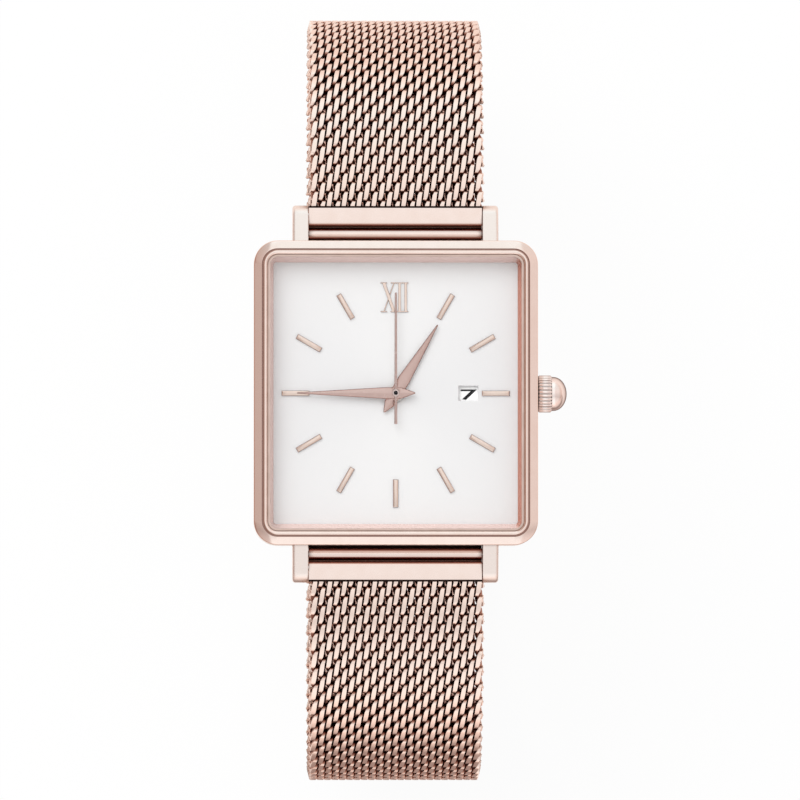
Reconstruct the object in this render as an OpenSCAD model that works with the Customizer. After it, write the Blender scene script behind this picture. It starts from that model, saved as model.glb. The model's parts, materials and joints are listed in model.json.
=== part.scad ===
// Square-cased analog wristwatch on a woven wire band, closed and standing on its clasp.
// Millimetres. The dial faces +Z, twelve o'clock is +Y, the crown is on +X.
// The origin is on the outer face of the clasp's flap, straight under the centre of the dial.

/* [Case] */
// Width of the case across the dial, without the crown
case_w = 26; // [25:0.1:28]
// Length of the case from six to twelve o'clock, without the lugs
case_l = 27.85; // [27.2:0.05:29]
// Radius of the case's corners seen from the front
case_corner_r = 2.2; // [2:0.1:2.6]
// Thickness of the wall of the case body
case_wall = 2.1; // [1.9:0.05:2.15]
// Rounding of the case body's lower edge
case_edge_r = 0.45; // [0.2:0.05:0.6]
// Thickness of the case back
back_t = 0.45; // [0.4:0.05:0.8]
// How far the case back stands in from the edge of the case
back_inset = 1.2; // [0.8:0.1:1.6]
// Height of the snap rim inside the case back
back_rim_h = 0.5; // [0.3:0.05:0.55]
// Thickness of the snap rim
back_rim_t = 0.45; // [0.3:0.05:0.6]

/* [Bezel] */
// Width of the rounded outer band of the bezel
band_w = 0.85; // [0.7:0.05:0.95]
// Width of the groove inside the band
groove_w = 0.2; // [0.15:0.01:0.25]
// Depth of the groove below the band
groove_d = 0.3; // [0.1:0.05:0.5]
// Width of the raised inner rim
rim_w = 0.25; // [0.2:0.01:0.3]
// How far the rim stands above the band
rim_rise = 0.15; // [0.05:0.01:0.3]
// Gap between the bezel and the crystal, filled by the gasket
gasket_t = 0.2; // [0.15:0.01:0.25]
// Thickness of the crystal
crystal_t = 1; // [0.8:0.1:1.4]
// Width of the sloping flange between crystal and dial
flange_slope_w = 0.5; // [0.35:0.05:0.6]
// Width of the dial that shows
dial_open_w = 22.1; // [21.9:0.05:22.3]

/* [Lugs] */
// Distance between the lugs
lug_gap = 16; // [15:0.5:17]
// Width of each lug
lug_w = 1.45; // [1.2:0.05:1.8]
// Distance of the spring bars beyond the end of the case
bar_y = 0.775; // [0.675:0.025:1.275]
// Height of the spring bars above the outer face of the case back
bar_h = 2.3; // [2:0.1:2.6]
// Radius of the rounded tip of a lug
lug_tip_r = 1.25; // [1.1:0.05:1.3]
// How far the tip's centre lies beyond the spring bar
lug_tip_out = 1.2; // [1:0.05:1.2]
// How far the tip's centre lies below the spring bar
lug_tip_drop = 0.3; // [0:0.05:0.4]
// Radius of a spring bar
bar_r = 0.4; // [0.35:0.05:0.5]
// Radius of a spring bar's tip, inside the lug
bar_tip_r = 0.25; // [0.2:0.05:0.3]
// Length of a spring bar's tip
bar_tip_l = 0.75; // [0.5:0.05:0.9]

/* [Band] */
// Width of the woven band
mesh_w = 16.2; // [15.8:0.1:16.6]
// Distance from one row of coils to the next
row_pitch = 0.84; // [0.82:0.01:0.9]
// Rows of coils in each bending section
section_rows = 11; // [11:1:12]
// Bending sections in each half of the band
sections = 6; // [6:1:6]
// Radius of a rib, which is one side of a coil
rib_r = 0.31; // [0.26:0.01:0.32]
// Distance of the ribs' centres from the middle of the band
rib_out = 0.34; // [0.32:0.01:0.4]
// Rows in the straight end of the twelve o'clock half
end_rows_12 = 6; // [5:1:6]
// Rows in the straight end of the six o'clock half
end_rows_6 = 26; // [25:1:27]
// Height of the middle of the band at the clasp
mesh_low_z = 2.65; // [2.65:0.05:3]
// Radius of the tube that turns on the spring bar
tube_r = 0.7; // [0.6:0.05:0.72]
// Length of the clamp bar that holds the end of the band
clamp_l = 1.6; // [1.4:0.05:1.7]
// Thickness of the clamp bar
clamp_t = 1.6; // [1.4:0.1:1.8]

/* [Clasp] */
// Thickness of the flap
flap_t = 0.45; // [0.35:0.05:0.5]
// Width of the flap
flap_w = 17.6; // [17:0.1:17.8]
// Place of the flap's hinge pin along the band
pin_y = -7.4; // [-8.5:0.1:-6.5]
// Height of the flap's hinge pin
pin_z = 1.15; // [1.1:0.05:1.15]
// Radius of the flap's hinge pin
pin_r = 0.35; // [0.25:0.05:0.4]
// Wall of the flap's knuckles round the pin
knuckle_wall = 0.3; // [0.25:0.01:0.32]
// Place of the catch bar along the band
catch_y = 6; // [6:0.1:6.6]
// Height of the catch bar
catch_z = 1.55; // [1.55:0.05:1.6]
// Radius of the catch bar
catch_r = 0.3; // [0.25:0.05:0.3]
// Thickness of the slider's side rails
rail_t = 0.7; // [0.5:0.05:0.9]
// Thickness of the slider's inner bridge
bridge_plate_t = 0.45; // [0.35:0.05:0.6]
// Length of the slider's inner bridge
bridge_plate_l = 10; // [6:0.5:10.5]
// Width of the tongue that meets the catch bar
tongue_w = 12; // [8:0.5:14]
// Thickness of the tongue
tongue_t = 0.3; // [0.25:0.05:0.35]

/* [Crown] */
// Diameter of the knurled drum
crown_d = 3.4; // [3:0.1:3.6]
// Length of the knurled drum
crown_l = 1.35; // [1.2:0.05:1.6]
// Number of ridges round the drum
crown_ridges = 30; // [20:1:40]
// Depth of the grooves between the ridges
crown_groove = 0.12; // [0.06:0.01:0.16]
// Diameter of the polished dome at its foot
dome_d = 2.7; // [2.2:0.1:2.9]
// Height of the dome
dome_h = 1.1; // [0.8:0.05:1.2]
// Height of the crown's axis above the outer face of the case back
stem_h = 2.4; // [2.3:0.05:2.45]
// Radius of the winding stem
stem_r = 0.3; // [0.25:0.01:0.32]
// Outer radius of the tube in the case wall
crown_tube_r = 0.7; // [0.6:0.05:0.75]

/* [Dial and hands] */
// Thickness of the dial
dial_t = 0.4; // [0.3:0.05:0.5]
// Distance from the centre to the inner end of an hour marker
marker_in = 7.9; // [7.7:0.1:8.2]
// Length of an hour marker
marker_l = 2.55; // [2:0.05:2.6]
// Width of an hour marker
marker_w = 0.48; // [0.3:0.01:0.7]
// Height of an hour marker
marker_h = 0.22; // [0.1:0.01:0.23]
// Height of the letters of the numeral
numeral_l = 2.63; // [2.2:0.01:2.9]
// Distance of the numeral from the centre of the dial
numeral_y = 8.8; // [8.6:0.1:9.2]
// Distance of the date window from the centre of the dial
window_x = 6.67; // [6.4:0.01:6.9]
// Width of the date window
window_w = 1.77; // [1.4:0.01:1.9]
// Height of the date window
window_l = 1.33; // [1.1:0.01:1.6]
// Length of the hour hand from the centre
hour_l = 7.35; // [6.5:0.05:7.6]
// Widest part of the hour hand
hour_w = 1.16; // [0.9:0.01:1.3]
// Length of the minute hand from the centre
minute_l = 9.05; // [8.5:0.05:9.6]
// Widest part of the minute hand
minute_w = 1.1; // [0.8:0.01:1.2]
// Length of the second hand from the centre
second_l = 9.2; // [8.5:0.05:9.9]
// Width of the second hand
second_w = 0.3; // [0.2:0.01:0.4]
// Angle that the hour hand shows, clockwise from twelve
hour_angle = 31.6; // [0:0.1:360]
// Angle that the minute hand shows, clockwise from twelve
minute_angle = 270; // [0:1:360]
// Thickness of the hour and minute hands
hand_t = 0.14; // [0.1:0.01:0.16]

/* [Movement] */
// Radius of the movement
movement_r = 9.6; // [9.4:0.05:9.8]
// Thickness of the train bridge
bridge_t = 0.35; // [0.3:0.05:0.4]
// Room for the wheels between the bridge and the main plate
train_room = 1.15; // [1.15:0.05:1.2]
// Thickness of the main plate
plate_t = 0.55; // [0.5:0.05:0.6]
// Room for the motion work between the main plate and the dial
motion_room = 0.75; // [0.75:0.05:0.8]
// Room for the hands between the dial and the crystal
hand_room = 1.25; // [1.2:0.05:1.4]
// Radius of the battery
battery_r = 3.4; // [3:0.1:3.45]
// Thickness of the battery
battery_t = 1.65; // [1.2:0.05:1.7]
// Distance of the battery from the centre
battery_out = 6.08; // [6.05:0.01:6.15]
// Teeth of the wheel that turns once a minute
second_teeth = 40; // [40:1:40]
// Radius of the coil
coil_r = 0.5; // [0.3:0.05:0.52]

/* [Hidden] */
$fn = 48;

rose = [0.86, 0.68, 0.6];
rose_light = [0.9, 0.76, 0.7];
steel = [0.75, 0.76, 0.78];
brass = [0.82, 0.68, 0.36];
silver = [0.93, 0.93, 0.92];
rubber = [0.13, 0.13, 0.13];

// Clearances
fit = 0.05;
run = 0.03;
slip = 0.1;
snug = 0.005;

// The band's path: a straight under the clasp, two half circles and the case on top
section_deg = 180 / sections;
row_deg = section_deg / section_rows;
mesh_r = sections * section_rows * row_pitch / PI;
band_half_t = rib_out + rib_r;
core_t = 2 * rib_out + 0.02;
mesh_top_z = mesh_low_z + 2 * mesh_r;
bar_at = case_l / 2 + bar_y;
clamp_out = 2.35;
arc_y = bar_at + clamp_out + 0.25;
arc_z = mesh_low_z + mesh_r;

// Heights in the watch head, above the outer face of the case back
head_z = mesh_top_z - bar_h;
bridge_h = back_t + 0.55;
train_h = bridge_h + bridge_t;
plate_h = train_h + train_room;
motion_h = plate_h + plate_t;
dial_h = motion_h + motion_room;
dial_top = dial_h + dial_t;
seat_h = dial_top + fit;
crystal_h = dial_top + hand_room;
bezel_t = crystal_h + crystal_t + fit - seat_h;
dial_open_l = dial_open_w + case_l - case_w;
cavity_w = case_w - 2 * case_wall;
cavity_l = case_l - 2 * case_wall;
dial_w = cavity_w + 1;
dial_l = cavity_l + 1;
dial_corner = 0.6;
glass_seat = band_w + groove_w + rim_w;
crystal_w = case_w - 2 * glass_seat - 2 * gasket_t;
crystal_l = case_l - 2 * glass_seat - 2 * gasket_t;
glass_corner = case_corner_r - glass_seat;

// Heights of the wheels, each in its own layer
wheel_t = 0.15;
layer_h = [train_h + 0.1, train_h + 0.3, train_h + 0.5, train_h + 0.75];
pivot_r = 0.08;
arbor_r = 0.1;
second_arbor_r = 0.12;
cannon_r = 0.4;
hour_tube_r = 0.62;

// Places of the arbors
second_module = 0.104;
third_module = 0.07;
rotor_module = 0.08;
minute_module = 0.08;
date_module = 0.1;
pinion_teeth = 8;
third_teeth = 60;
centre_teeth = 64;
fifth_teeth = 36;
rotor_teeth = 6;
cannon_teeth = 12;
minute_teeth = 36;
minute_pinion_teeth = 10;
hour_teeth = 40;
date_pinion_teeth = 20;
date_teeth = 40;
ring_teeth = 31;
third_out = third_module * (third_teeth + pinion_teeth) / 2;
centre_module = 2 * third_out / (centre_teeth + pinion_teeth);
fifth_out = second_module * (second_teeth + pinion_teeth) / 2;
rotor_out = rotor_module * (fifth_teeth + rotor_teeth) / 2;
minute_out = minute_module * (minute_teeth + cannon_teeth) / 2;
hour_module = 2 * minute_out / (hour_teeth + minute_pinion_teeth);
date_out = date_module * (date_teeth + date_pinion_teeth) / 2;
third_a = 135;
fifth_a = 30;
rotor_a = -10;
minute_a = 200;
date_a = 40;
battery_a = 225;
function polar(r, a) = [r * cos(a), r * sin(a)];
third_at = polar(third_out, third_a);
fifth_at = polar(fifth_out, fifth_a);
rotor_at = fifth_at + polar(rotor_out, rotor_a);
minute_at = polar(minute_out, minute_a);
date_at = polar(date_out, date_a);
battery_at = polar(battery_out, battery_a);
post_r = 0.2;
pillar_r = 0.4;
pillars = [[7.6, 3.6], [-7.5, 3], [1, -7.8]];
finger_l = date_module * date_teeth / 2 + 0.2;
ring_in = date_out + finger_l + 0.08;
ring_out = movement_r - 1.5;
ring_t = 0.25;
ring_h = dial_h - 0.05 - ring_t;
stator_h = train_h + 0.4;
stator_t = 0.35;
stator_x = rotor_at[0] - 1.05;
coil_x = 6;
coil_y = [-6.1, -0.2];

// Heights of the hands
hour_hand_h = dial_top + marker_h + 0.05;
minute_hand_h = hour_hand_h + hand_t + 0.2;
second_hand_h = minute_hand_h + hand_t + 0.18;
second_hand_t = 0.08;
numeral_t = 0.12;

// Clasp
knuckle_r = pin_r + run + knuckle_wall;
rail_in = mesh_w / 2 + 0.2;
rail_z = [flap_t + 0.15, mesh_low_z + band_half_t + 0.15 + bridge_plate_t];
flap_front = catch_y + 0.3;
tongue_tip = catch_y + 0.15;
tongue_z = catch_z - catch_r - 0.25 - tongue_t;
end_12_y = arc_y - end_rows_12 * row_pitch;
end_6_y = end_rows_6 * row_pitch - arc_y;
cap_l = 2 * band_half_t;
crimp_l = 2.1;

// An outline of a rectangle with round corners, centred
module round_rect(w, l, r) {
  square([w - 2 * r, l], center = true);
  square([w, l - 2 * r], center = true);
  for (x = [-1, 1], y = [-1, 1]) translate([x * (w / 2 - r), y * (l / 2 - r)]) circle(r = r);
}

// A profile carried round a rectangle with round corners.
// The profile's x is measured outward from the centres of the corners.
module swept_frame(w, l, r) {
  half_w = w / 2 - r;
  half_l = l / 2 - r;
  for (x = [0, 1], y = [0, 1]) mirror([x, 0, 0]) mirror([0, y, 0])
    translate([half_w, half_l, 0]) rotate_extrude(angle = 90) children();
  for (x = [0, 1]) mirror([x, 0, 0])
    translate([half_w, half_l, 0]) rotate([90, 0, 0]) linear_extrude(2 * half_l) children();
  for (y = [0, 1]) mirror([0, y, 0])
    translate([-half_w, half_l, 0]) rotate([90, 0, 90]) linear_extrude(2 * half_w) children();
}

// A flat frame with a rectangular opening
module flat_frame(w, l, r, wall, t) {
  linear_extrude(t) difference() {
    round_rect(w, l, r);
    round_rect(w - 2 * wall, l - 2 * wall, max(r - wall, 0.1));
  }
}

// A profile in the plane of Y and Z, drawn out along X about the middle
module across(w) {
  rotate([90, 0, 90]) linear_extrude(w, center = true) children();
}

// Puts a thing into the watch head, at a height above the case back's outer face
module in_head(h) {
  translate([0, 0, head_z + h]) children();
}

// A rod along X from one place to another
module rod_x(x0, x1, r) {
  translate([x0, 0, 0]) rotate([0, 90, 0]) cylinder(r = r, h = x1 - x0);
}

// A toothed wheel with straight-sided teeth; a tooth points along +X
module toothed(teeth, size, h) {
  pitch = 360 / teeth;
  root = size * (teeth / 2 - 0.95);
  tip = size * (teeth / 2 + 0.6);
  shape = [[root, -0.29], [tip, -0.11], [tip, 0.11], [root, 0.29]];
  linear_extrude(h)
    polygon([for (i = [0 : teeth - 1], s = shape) polar(s[0], (i + s[1]) * pitch)]);
}

// The case body with its four lugs
module case_profile() {
  outer = case_corner_r;
  inner = case_corner_r - case_wall;
  ledge = case_corner_r - (case_w - dial_w) / 2 + slip;
  translate([inner, back_t]) square([outer - case_edge_r - inner, case_edge_r + 0.01]);
  translate([outer - case_edge_r, back_t + case_edge_r]) circle(r = case_edge_r);
  translate([inner, back_t + case_edge_r]) square([case_wall, dial_h - back_t - case_edge_r]);
  translate([ledge, dial_h - 0.01]) square([outer - ledge, seat_h - dial_h + 0.01]);
}

module lug_profile() {
  tip = [bar_at + lug_tip_out, bar_h - lug_tip_drop];
  slope = 69;
  root_y = case_l / 2 - 1;
  translate(tip) circle(r = lug_tip_r);
  polygon([[root_y, tip[1] - lug_tip_r], [tip[0], tip[1] - lug_tip_r],
    tip + polar(lug_tip_r, slope), [root_y, seat_h - 0.15]]);
}

module case_middle() {
  bar_hole_l = bar_tip_l + slip;
  color(rose) in_head(0) difference() {
    union() {
      swept_frame(case_w, case_l, case_corner_r) case_profile();
      for (y = [0, 1], x = [-1, 1]) mirror([0, y, 0])
        translate([x * (lug_gap + lug_w) / 2, 0, 0]) across(lug_w) lug_profile();
    }
    for (y = [-1, 1], x = [-1, 1]) translate([x * (lug_gap + bar_hole_l) / 2, y * bar_at, bar_h])
      rotate([0, 90, 0]) cylinder(r = bar_tip_r + run, h = bar_hole_l + 0.02, center = true);
    translate([0, 0, stem_h]) rod_x(case_w / 2 - case_wall - 1, case_w / 2 + 1, crown_tube_r + snug);
  }
}

// The bezel: a rounded band, a groove and a thin raised rim round the crystal
module bezel_profile() {
  outer = case_corner_r;
  band_top = bezel_t - rim_rise;
  ledge_z = crystal_h - seat_h;
  half = band_w / 2;
  translate([outer - 1, 0]) square([1, ledge_z + 0.01]);
  translate([outer - band_w, ledge_z]) square([band_w, band_top - half - ledge_z]);
  translate([outer - half, band_top - half]) circle(r = half);
  translate([glass_corner, ledge_z]) square([rim_w, bezel_t - rim_w / 2 - ledge_z]);
  translate([glass_corner + rim_w / 2, bezel_t - rim_w / 2]) circle(r = rim_w / 2);
  translate([glass_corner, ledge_z]) square([glass_seat - half, band_top - groove_d - ledge_z]);
}

module bezel() {
  color(rose) in_head(seat_h) swept_frame(case_w, case_l, case_corner_r) bezel_profile();
}

module crystal() {
  edge = 0.12;
  r = glass_corner - gasket_t;
  color([0.85, 0.92, 0.95, 0.35]) in_head(crystal_h) {
    linear_extrude(crystal_t - edge) round_rect(crystal_w, crystal_l, r);
    translate([0, 0, crystal_t - edge]) linear_extrude(edge)
      round_rect(crystal_w - 2 * edge, crystal_l - 2 * edge, r - edge);
  }
}

module crystal_gasket() {
  color([0.9, 0.88, 0.86]) in_head(crystal_h)
    flat_frame(crystal_w + 2 * gasket_t - 0.02, crystal_l + 2 * gasket_t - 0.02,
      glass_corner - 0.01, gasket_t - 0.02, crystal_t - 0.15);
}

// The flange that carries the crystal, with a slope down to the dial
module dial_flange() {
  corner = 0.25;
  in_from_case = 1 + fit;
  high = crystal_h - seat_h;
  top_w = dial_open_w + 2 * flange_slope_w;
  top_l = dial_open_l + 2 * flange_slope_w;
  top_r = corner + flange_slope_w;
  lap = 0.01;
  color(rose) in_head(seat_h) {
    linear_extrude(high) difference() {
      round_rect(case_w - 2 * in_from_case, case_l - 2 * in_from_case, case_corner_r - in_from_case);
      round_rect(top_w, top_l, top_r);
    }
    swept_frame(top_w, top_l, top_r)
      polygon([[corner, 0], [top_r + lap, 0], [top_r + lap, high], [top_r, high]]);
  }
}

module dial() {
  color(silver) in_head(dial_h) difference() {
    linear_extrude(dial_t) round_rect(dial_w, dial_l, dial_corner);
    translate([0, 0, -0.1]) cylinder(r = hour_tube_r + 0.2, h = dial_t + 0.2);
    translate([window_x, 0, dial_t / 2]) cube([window_w, window_l, dial_t + 0.2], center = true);
  }
}

module hour_markers() {
  color(rose) in_head(dial_top) for (hour = [1 : 11]) rotate(-30 * hour)
    translate([-marker_w / 2, marker_in, 0]) cube([marker_w, marker_l, marker_h]);
}

// The numeral XII, made of straight strokes and thin serifs
module stroke(x0, y0, x1, y1, w) {
  linear_extrude(numeral_t)
    polygon([[x0 - w / 2, y0], [x0 + w / 2, y0], [x1 + w / 2, y1], [x1 - w / 2, y1]]);
}

module serif(x, y, w) {
  serif_t = 0.09;
  translate([x - w / 2, y - serif_t / 2, 0]) cube([w, serif_t, numeral_t]);
}

module numeral_twelve() {
  h = numeral_l / 2;
  x_at = -0.62;
  x_half = 0.46;
  stems = [0.36, 0.92];
  color(rose) in_head(dial_top) translate([0, numeral_y, 0]) {
    stroke(x_at - x_half, h, x_at + x_half, -h, 0.3);
    stroke(x_at + x_half, h, x_at - x_half, -h, 0.1);
    for (x = stems) stroke(x, h, x, -h, 0.23);
    for (y = [h, -h]) {
      for (x = [x_at - x_half, x_at + x_half]) serif(x, y, 0.6);
      serif((stems[0] + stems[1]) / 2, y, stems[1] - stems[0] + 0.5);
    }
  }
}

module movement_holder() {
  color([0.85, 0.85, 0.82]) in_head(bridge_h + 0.05) difference() {
    linear_extrude(dial_h - bridge_h - 0.1) difference() {
      round_rect(cavity_w - 2 * slip, cavity_l - 2 * slip, 0.6);
      circle(r = movement_r + fit, $fn = 96);
    }
    translate([movement_r + 1, 0, stem_h - bridge_h]) cube([4, 3 * stem_r + 1, 2], center = true);
  }
}

module case_back() {
  w = case_w - 2 * back_inset;
  l = case_l - 2 * back_inset;
  r = case_corner_r - 0.4;
  rim_gap = 0.3;
  step = 0.15;
  color(steel) in_head(0) {
    linear_extrude(step + 0.01) round_rect(w - 2 * step, l - 2 * step, r - step);
    translate([0, 0, step]) linear_extrude(back_t - step) round_rect(w, l, r);
    translate([0, 0, back_t]) flat_frame(cavity_w - 2 * rim_gap, cavity_l - 2 * rim_gap, 0.8,
      back_rim_t, back_rim_h);
  }
}

module back_gasket() {
  color(rubber) in_head(back_t + 0.02)
    flat_frame(cavity_w - 0.06, cavity_l - 0.06, 0.9, 0.24, 0.3);
}

module crown_tube() {
  from_x = case_w / 2 - case_wall - 0.1;
  to_x = case_w / 2 + 0.7;
  color(steel) in_head(stem_h) difference() {
    rod_x(from_x, to_x, crown_tube_r);
    rod_x(from_x - 1, to_x + 1, stem_r + 0.1);
  }
}

// A spring bar with its two thinner tips in the lugs
module spring_bar(side) {
  color(steel) in_head(bar_h) translate([0, side * bar_at, 0]) {
    rod_x(-lug_gap / 2 + 0.05, lug_gap / 2 - 0.05, bar_r);
    rod_x(-lug_gap / 2 - bar_tip_l, lug_gap / 2 + bar_tip_l, bar_tip_r);
  }
}

module spring_bar_12() spring_bar(1);
module spring_bar_6() spring_bar(-1);

// The movement
module main_plate() {
  post_top = dial_h - 0.08;
  date_seat_in = ring_in + 0.4;
  color(steel) in_head(0) {
    difference() {
      translate([0, 0, plate_h]) cylinder(r = movement_r, h = plate_t, $fn = 96);
      translate([0, 0, plate_h - 1]) cylinder(r = cannon_r + run, h = 3);
      for (p = [third_at, fifth_at, rotor_at]) translate([p[0], p[1], plate_h - 1])
        cylinder(r = pivot_r + run, h = 3);
      translate([movement_r, 0, stem_h]) cube([5, 3 * stem_r, 1.2], center = true);
    }
    for (p = pillars) translate([p[0], p[1], train_h]) cylinder(r = pillar_r, h = train_room);
    for (p = [minute_at, date_at]) translate([p[0], p[1], motion_h])
      cylinder(r = post_r, h = post_top - motion_h);
    translate([0, 0, motion_h]) difference() {
      cylinder(r = movement_r, h = dial_h - motion_h, $fn = 96);
      translate([0, 0, -1]) cylinder(r = ring_out + 0.1, h = 3, $fn = 96);
    }
    translate([0, 0, motion_h]) difference() {
      cylinder(r = ring_out - 0.3, h = ring_h - motion_h - 0.03, $fn = 96);
      translate([0, 0, -1]) cylinder(r = date_seat_in, h = 3, $fn = 96);
    }
  }
}

module train_bridge() {
  color(brass) in_head(bridge_h) linear_extrude(bridge_t) difference() {
    circle(r = movement_r - 0.3, $fn = 96);
    translate(battery_at) circle(r = battery_r + 0.2, $fn = 96);
    circle(r = pivot_r + run);
    for (p = [third_at, fifth_at, rotor_at]) translate(p) circle(r = pivot_r + run);
  }
}

module circuit_board() {
  color([0.15, 0.45, 0.25]) in_head(train_h + 0.02) linear_extrude(0.25) difference() {
    intersection() {
      circle(r = movement_r - 0.5, $fn = 96);
      translate([-5.4, 4.4]) square([10.8, 6]);
    }
    for (p = pillars) translate(p) circle(r = pillar_r + 0.2);
  }
}

module battery() {
  top = plate_h - 0.05;
  crimp = 0.3;
  color(silver) in_head(0) translate(battery_at) {
    translate([0, 0, top - battery_t]) cylinder(r = battery_r, h = battery_t - crimp, $fn = 96);
    translate([0, 0, top - crimp]) cylinder(r = battery_r - 0.5, h = crimp, $fn = 96);
  }
}

module battery_clamp() {
  top = plate_h - 0.05 - battery_t - 0.05;
  t = 0.15;
  reach = battery_r + 0.9;
  w = 1.4;
  color(steel) in_head(0) translate(battery_at) rotate(battery_a + 90) {
    translate([-reach, -w / 2, top - t]) cube([2 * reach, w, t]);
    for (x = [-1, 1]) translate([x * (reach - 0.3) - 0.3, -w / 2, top - 0.01])
      cube([0.6, w, bridge_h - top + 0.01]);
  }
}

module coil() {
  core_z = stator_h + stator_t / 2;
  color([0.72, 0.4, 0.2]) in_head(core_z) translate([coil_x, 0, 0]) rotate([-90, 0, 0]) {
    translate([0, 0, coil_y[0] + 0.4]) cylinder(r = coil_r, h = coil_y[1] - coil_y[0] - 0.8);
    translate([-0.25, -stator_t / 2, coil_y[0]]) cube([0.5, stator_t, coil_y[1] - coil_y[0]]);
  }
}

module stator() {
  arm = 1.4;
  foot = 0.7;
  color(steel) in_head(stator_h) linear_extrude(stator_t) difference() {
    union() {
      translate([stator_x, coil_y[1]]) square([coil_x + 0.9 - stator_x, 2.4]);
      translate([stator_x, coil_y[0] - foot]) square([arm, coil_y[1] - coil_y[0] + foot + 0.1]);
      translate([stator_x, coil_y[0] - foot]) square([coil_x + 0.4 - stator_x, foot]);
    }
    translate(rotor_at) circle(r = 0.85);
  }
}

module quartz_can() {
  r = 0.38;
  color(steel) in_head(train_h + 0.28 + r) translate([0, 6, 0]) rod_x(-2.3, 2.3, r);
}

// An arbor with thinner pivots in the bridge and the plate
module arbor(at, from_h, to_h) {
  translate([at[0], at[1], 0]) {
    translate([0, 0, from_h + fit]) cylinder(r = arbor_r, h = to_h - from_h - 2 * fit);
    translate([0, 0, from_h - bridge_t + 0.02]) cylinder(r = pivot_r, h = to_h - from_h + bridge_t + 0.2);
  }
}

module gear_at(at, turn, teeth, size, h, t) {
  translate([at[0], at[1], h]) rotate(turn) toothed(teeth, size, t);
}

module rotor() {
  color(steel) in_head(0) {
    arbor(rotor_at, train_h, plate_h);
    gear_at(rotor_at, rotor_a + 180, rotor_teeth, rotor_module, layer_h[0], wheel_t);
    translate([rotor_at[0], rotor_at[1], stator_h]) cylinder(r = 0.65, h = stator_t);
  }
}

module fifth_wheel() {
  color(brass) in_head(0) {
    arbor(fifth_at, train_h, plate_h);
    gear_at(fifth_at, rotor_a + 180 / fifth_teeth, fifth_teeth, rotor_module, layer_h[0], wheel_t);
    gear_at(fifth_at, fifth_a + 180, pinion_teeth, second_module, layer_h[1] - 0.04, wheel_t + 0.08);
  }
}

module second_wheel() {
  top = second_hand_h + second_hand_t + 0.03;
  centre = [0, 0];
  color(brass) in_head(0) {
    translate([0, 0, train_h + fit]) cylinder(r = second_arbor_r, h = top - train_h - fit);
    translate([0, 0, bridge_h + 0.02]) cylinder(r = pivot_r, h = 1);
    gear_at(centre, fifth_a + 180 / second_teeth, second_teeth, second_module, layer_h[1], wheel_t);
    gear_at(centre, third_a + 180 / pinion_teeth, pinion_teeth, third_module, layer_h[2] - 0.04,
      wheel_t + 0.08);
  }
}

module third_wheel() {
  color(brass) in_head(0) {
    arbor(third_at, train_h, plate_h);
    gear_at(third_at, third_a, third_teeth, third_module, layer_h[2], wheel_t);
    gear_at(third_at, third_a + 180, pinion_teeth, centre_module, layer_h[3] - 0.06, wheel_t + 0.1);
  }
}

module centre_wheel() {
  top = minute_hand_h + hand_t + 0.02;
  centre = [0, 0];
  color(brass) in_head(0) difference() {
    union() {
      translate([0, 0, layer_h[3]]) cylinder(r = cannon_r, h = top - layer_h[3]);
      gear_at(centre, third_a + 180 / centre_teeth, centre_teeth, centre_module, layer_h[3], wheel_t);
      gear_at(centre, minute_a, cannon_teeth, minute_module, motion_h + 0.05, wheel_t + 0.03);
    }
    translate([0, 0, layer_h[3] - 1]) cylinder(r = second_arbor_r + run, h = top);
  }
}

module minute_wheel() {
  color(brass) in_head(0) difference() {
    union() {
      gear_at(minute_at, minute_a + 180 + 180 / minute_teeth, minute_teeth, minute_module,
        motion_h + 0.05, wheel_t);
      gear_at(minute_at, minute_a + 180, minute_pinion_teeth, hour_module, motion_h + 0.19, 0.25);
    }
    translate([minute_at[0], minute_at[1], motion_h - 1]) cylinder(r = post_r + run, h = 3);
  }
}

module hour_wheel() {
  top = hour_hand_h + hand_t;
  low = motion_h + 0.28;
  centre = [0, 0];
  color(brass) in_head(0) difference() {
    union() {
      translate([0, 0, low]) cylinder(r = hour_tube_r, h = top - low);
      gear_at(centre, minute_a + 180 / hour_teeth, hour_teeth, hour_module, low, wheel_t);
      gear_at(centre, date_a, date_pinion_teeth, date_module, motion_h + 0.48, wheel_t);
    }
    translate([0, 0, low - 1]) cylinder(r = cannon_r + run, h = top);
  }
}

module date_wheel() {
  h = motion_h + 0.48;
  color(brass) in_head(0) difference() {
    union() {
      gear_at(date_at, date_a + 180 + 180 / date_teeth, date_teeth, date_module, h, wheel_t);
      translate([date_at[0], date_at[1], h + wheel_t - 0.01]) rotate(date_a) translate([0, -0.2, 0])
        cube([finger_l, 0.4, 0.07]);
    }
    translate([date_at[0], date_at[1], h - 1]) cylinder(r = post_r + run, h = 3);
  }
}

// The date ring with its inner teeth, which show the day through the window
module date_ring() {
  pitch = 360 / ring_teeth;
  color([0.97, 0.97, 0.97]) in_head(ring_h) linear_extrude(ring_t) difference() {
    circle(r = ring_out, $fn = 96);
    polygon([for (i = [0 : ring_teeth - 1], s = [[ring_in, -0.2], [ring_in + 0.35, -0.5],
      [ring_in + 0.35, -0.4]]) polar(s[0], (i + s[1]) * pitch)]);
  }
}

// A hand: a tapered blade that is widest at one place, with a hub round its arbor
module hand(l, w, widest, tail, tail_w, tip_w, t, bore, hub_wall) {
  difference() {
    union() {
      linear_extrude(t) polygon([[-tip_w / 2, l], [tip_w / 2, l], [w / 2, widest],
        [tail_w / 2, -tail], [-tail_w / 2, -tail], [-w / 2, widest]]);
      cylinder(r = bore + hub_wall, h = t);
    }
    translate([0, 0, -1]) cylinder(r = bore + snug, h = t + 2);
  }
}

module hour_hand() {
  color(rose) in_head(hour_hand_h) rotate(-hour_angle)
    hand(hour_l, hour_w, 1.45, 2.07, 0.7, 0.12, hand_t, hour_tube_r, 0.14);
}

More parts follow.
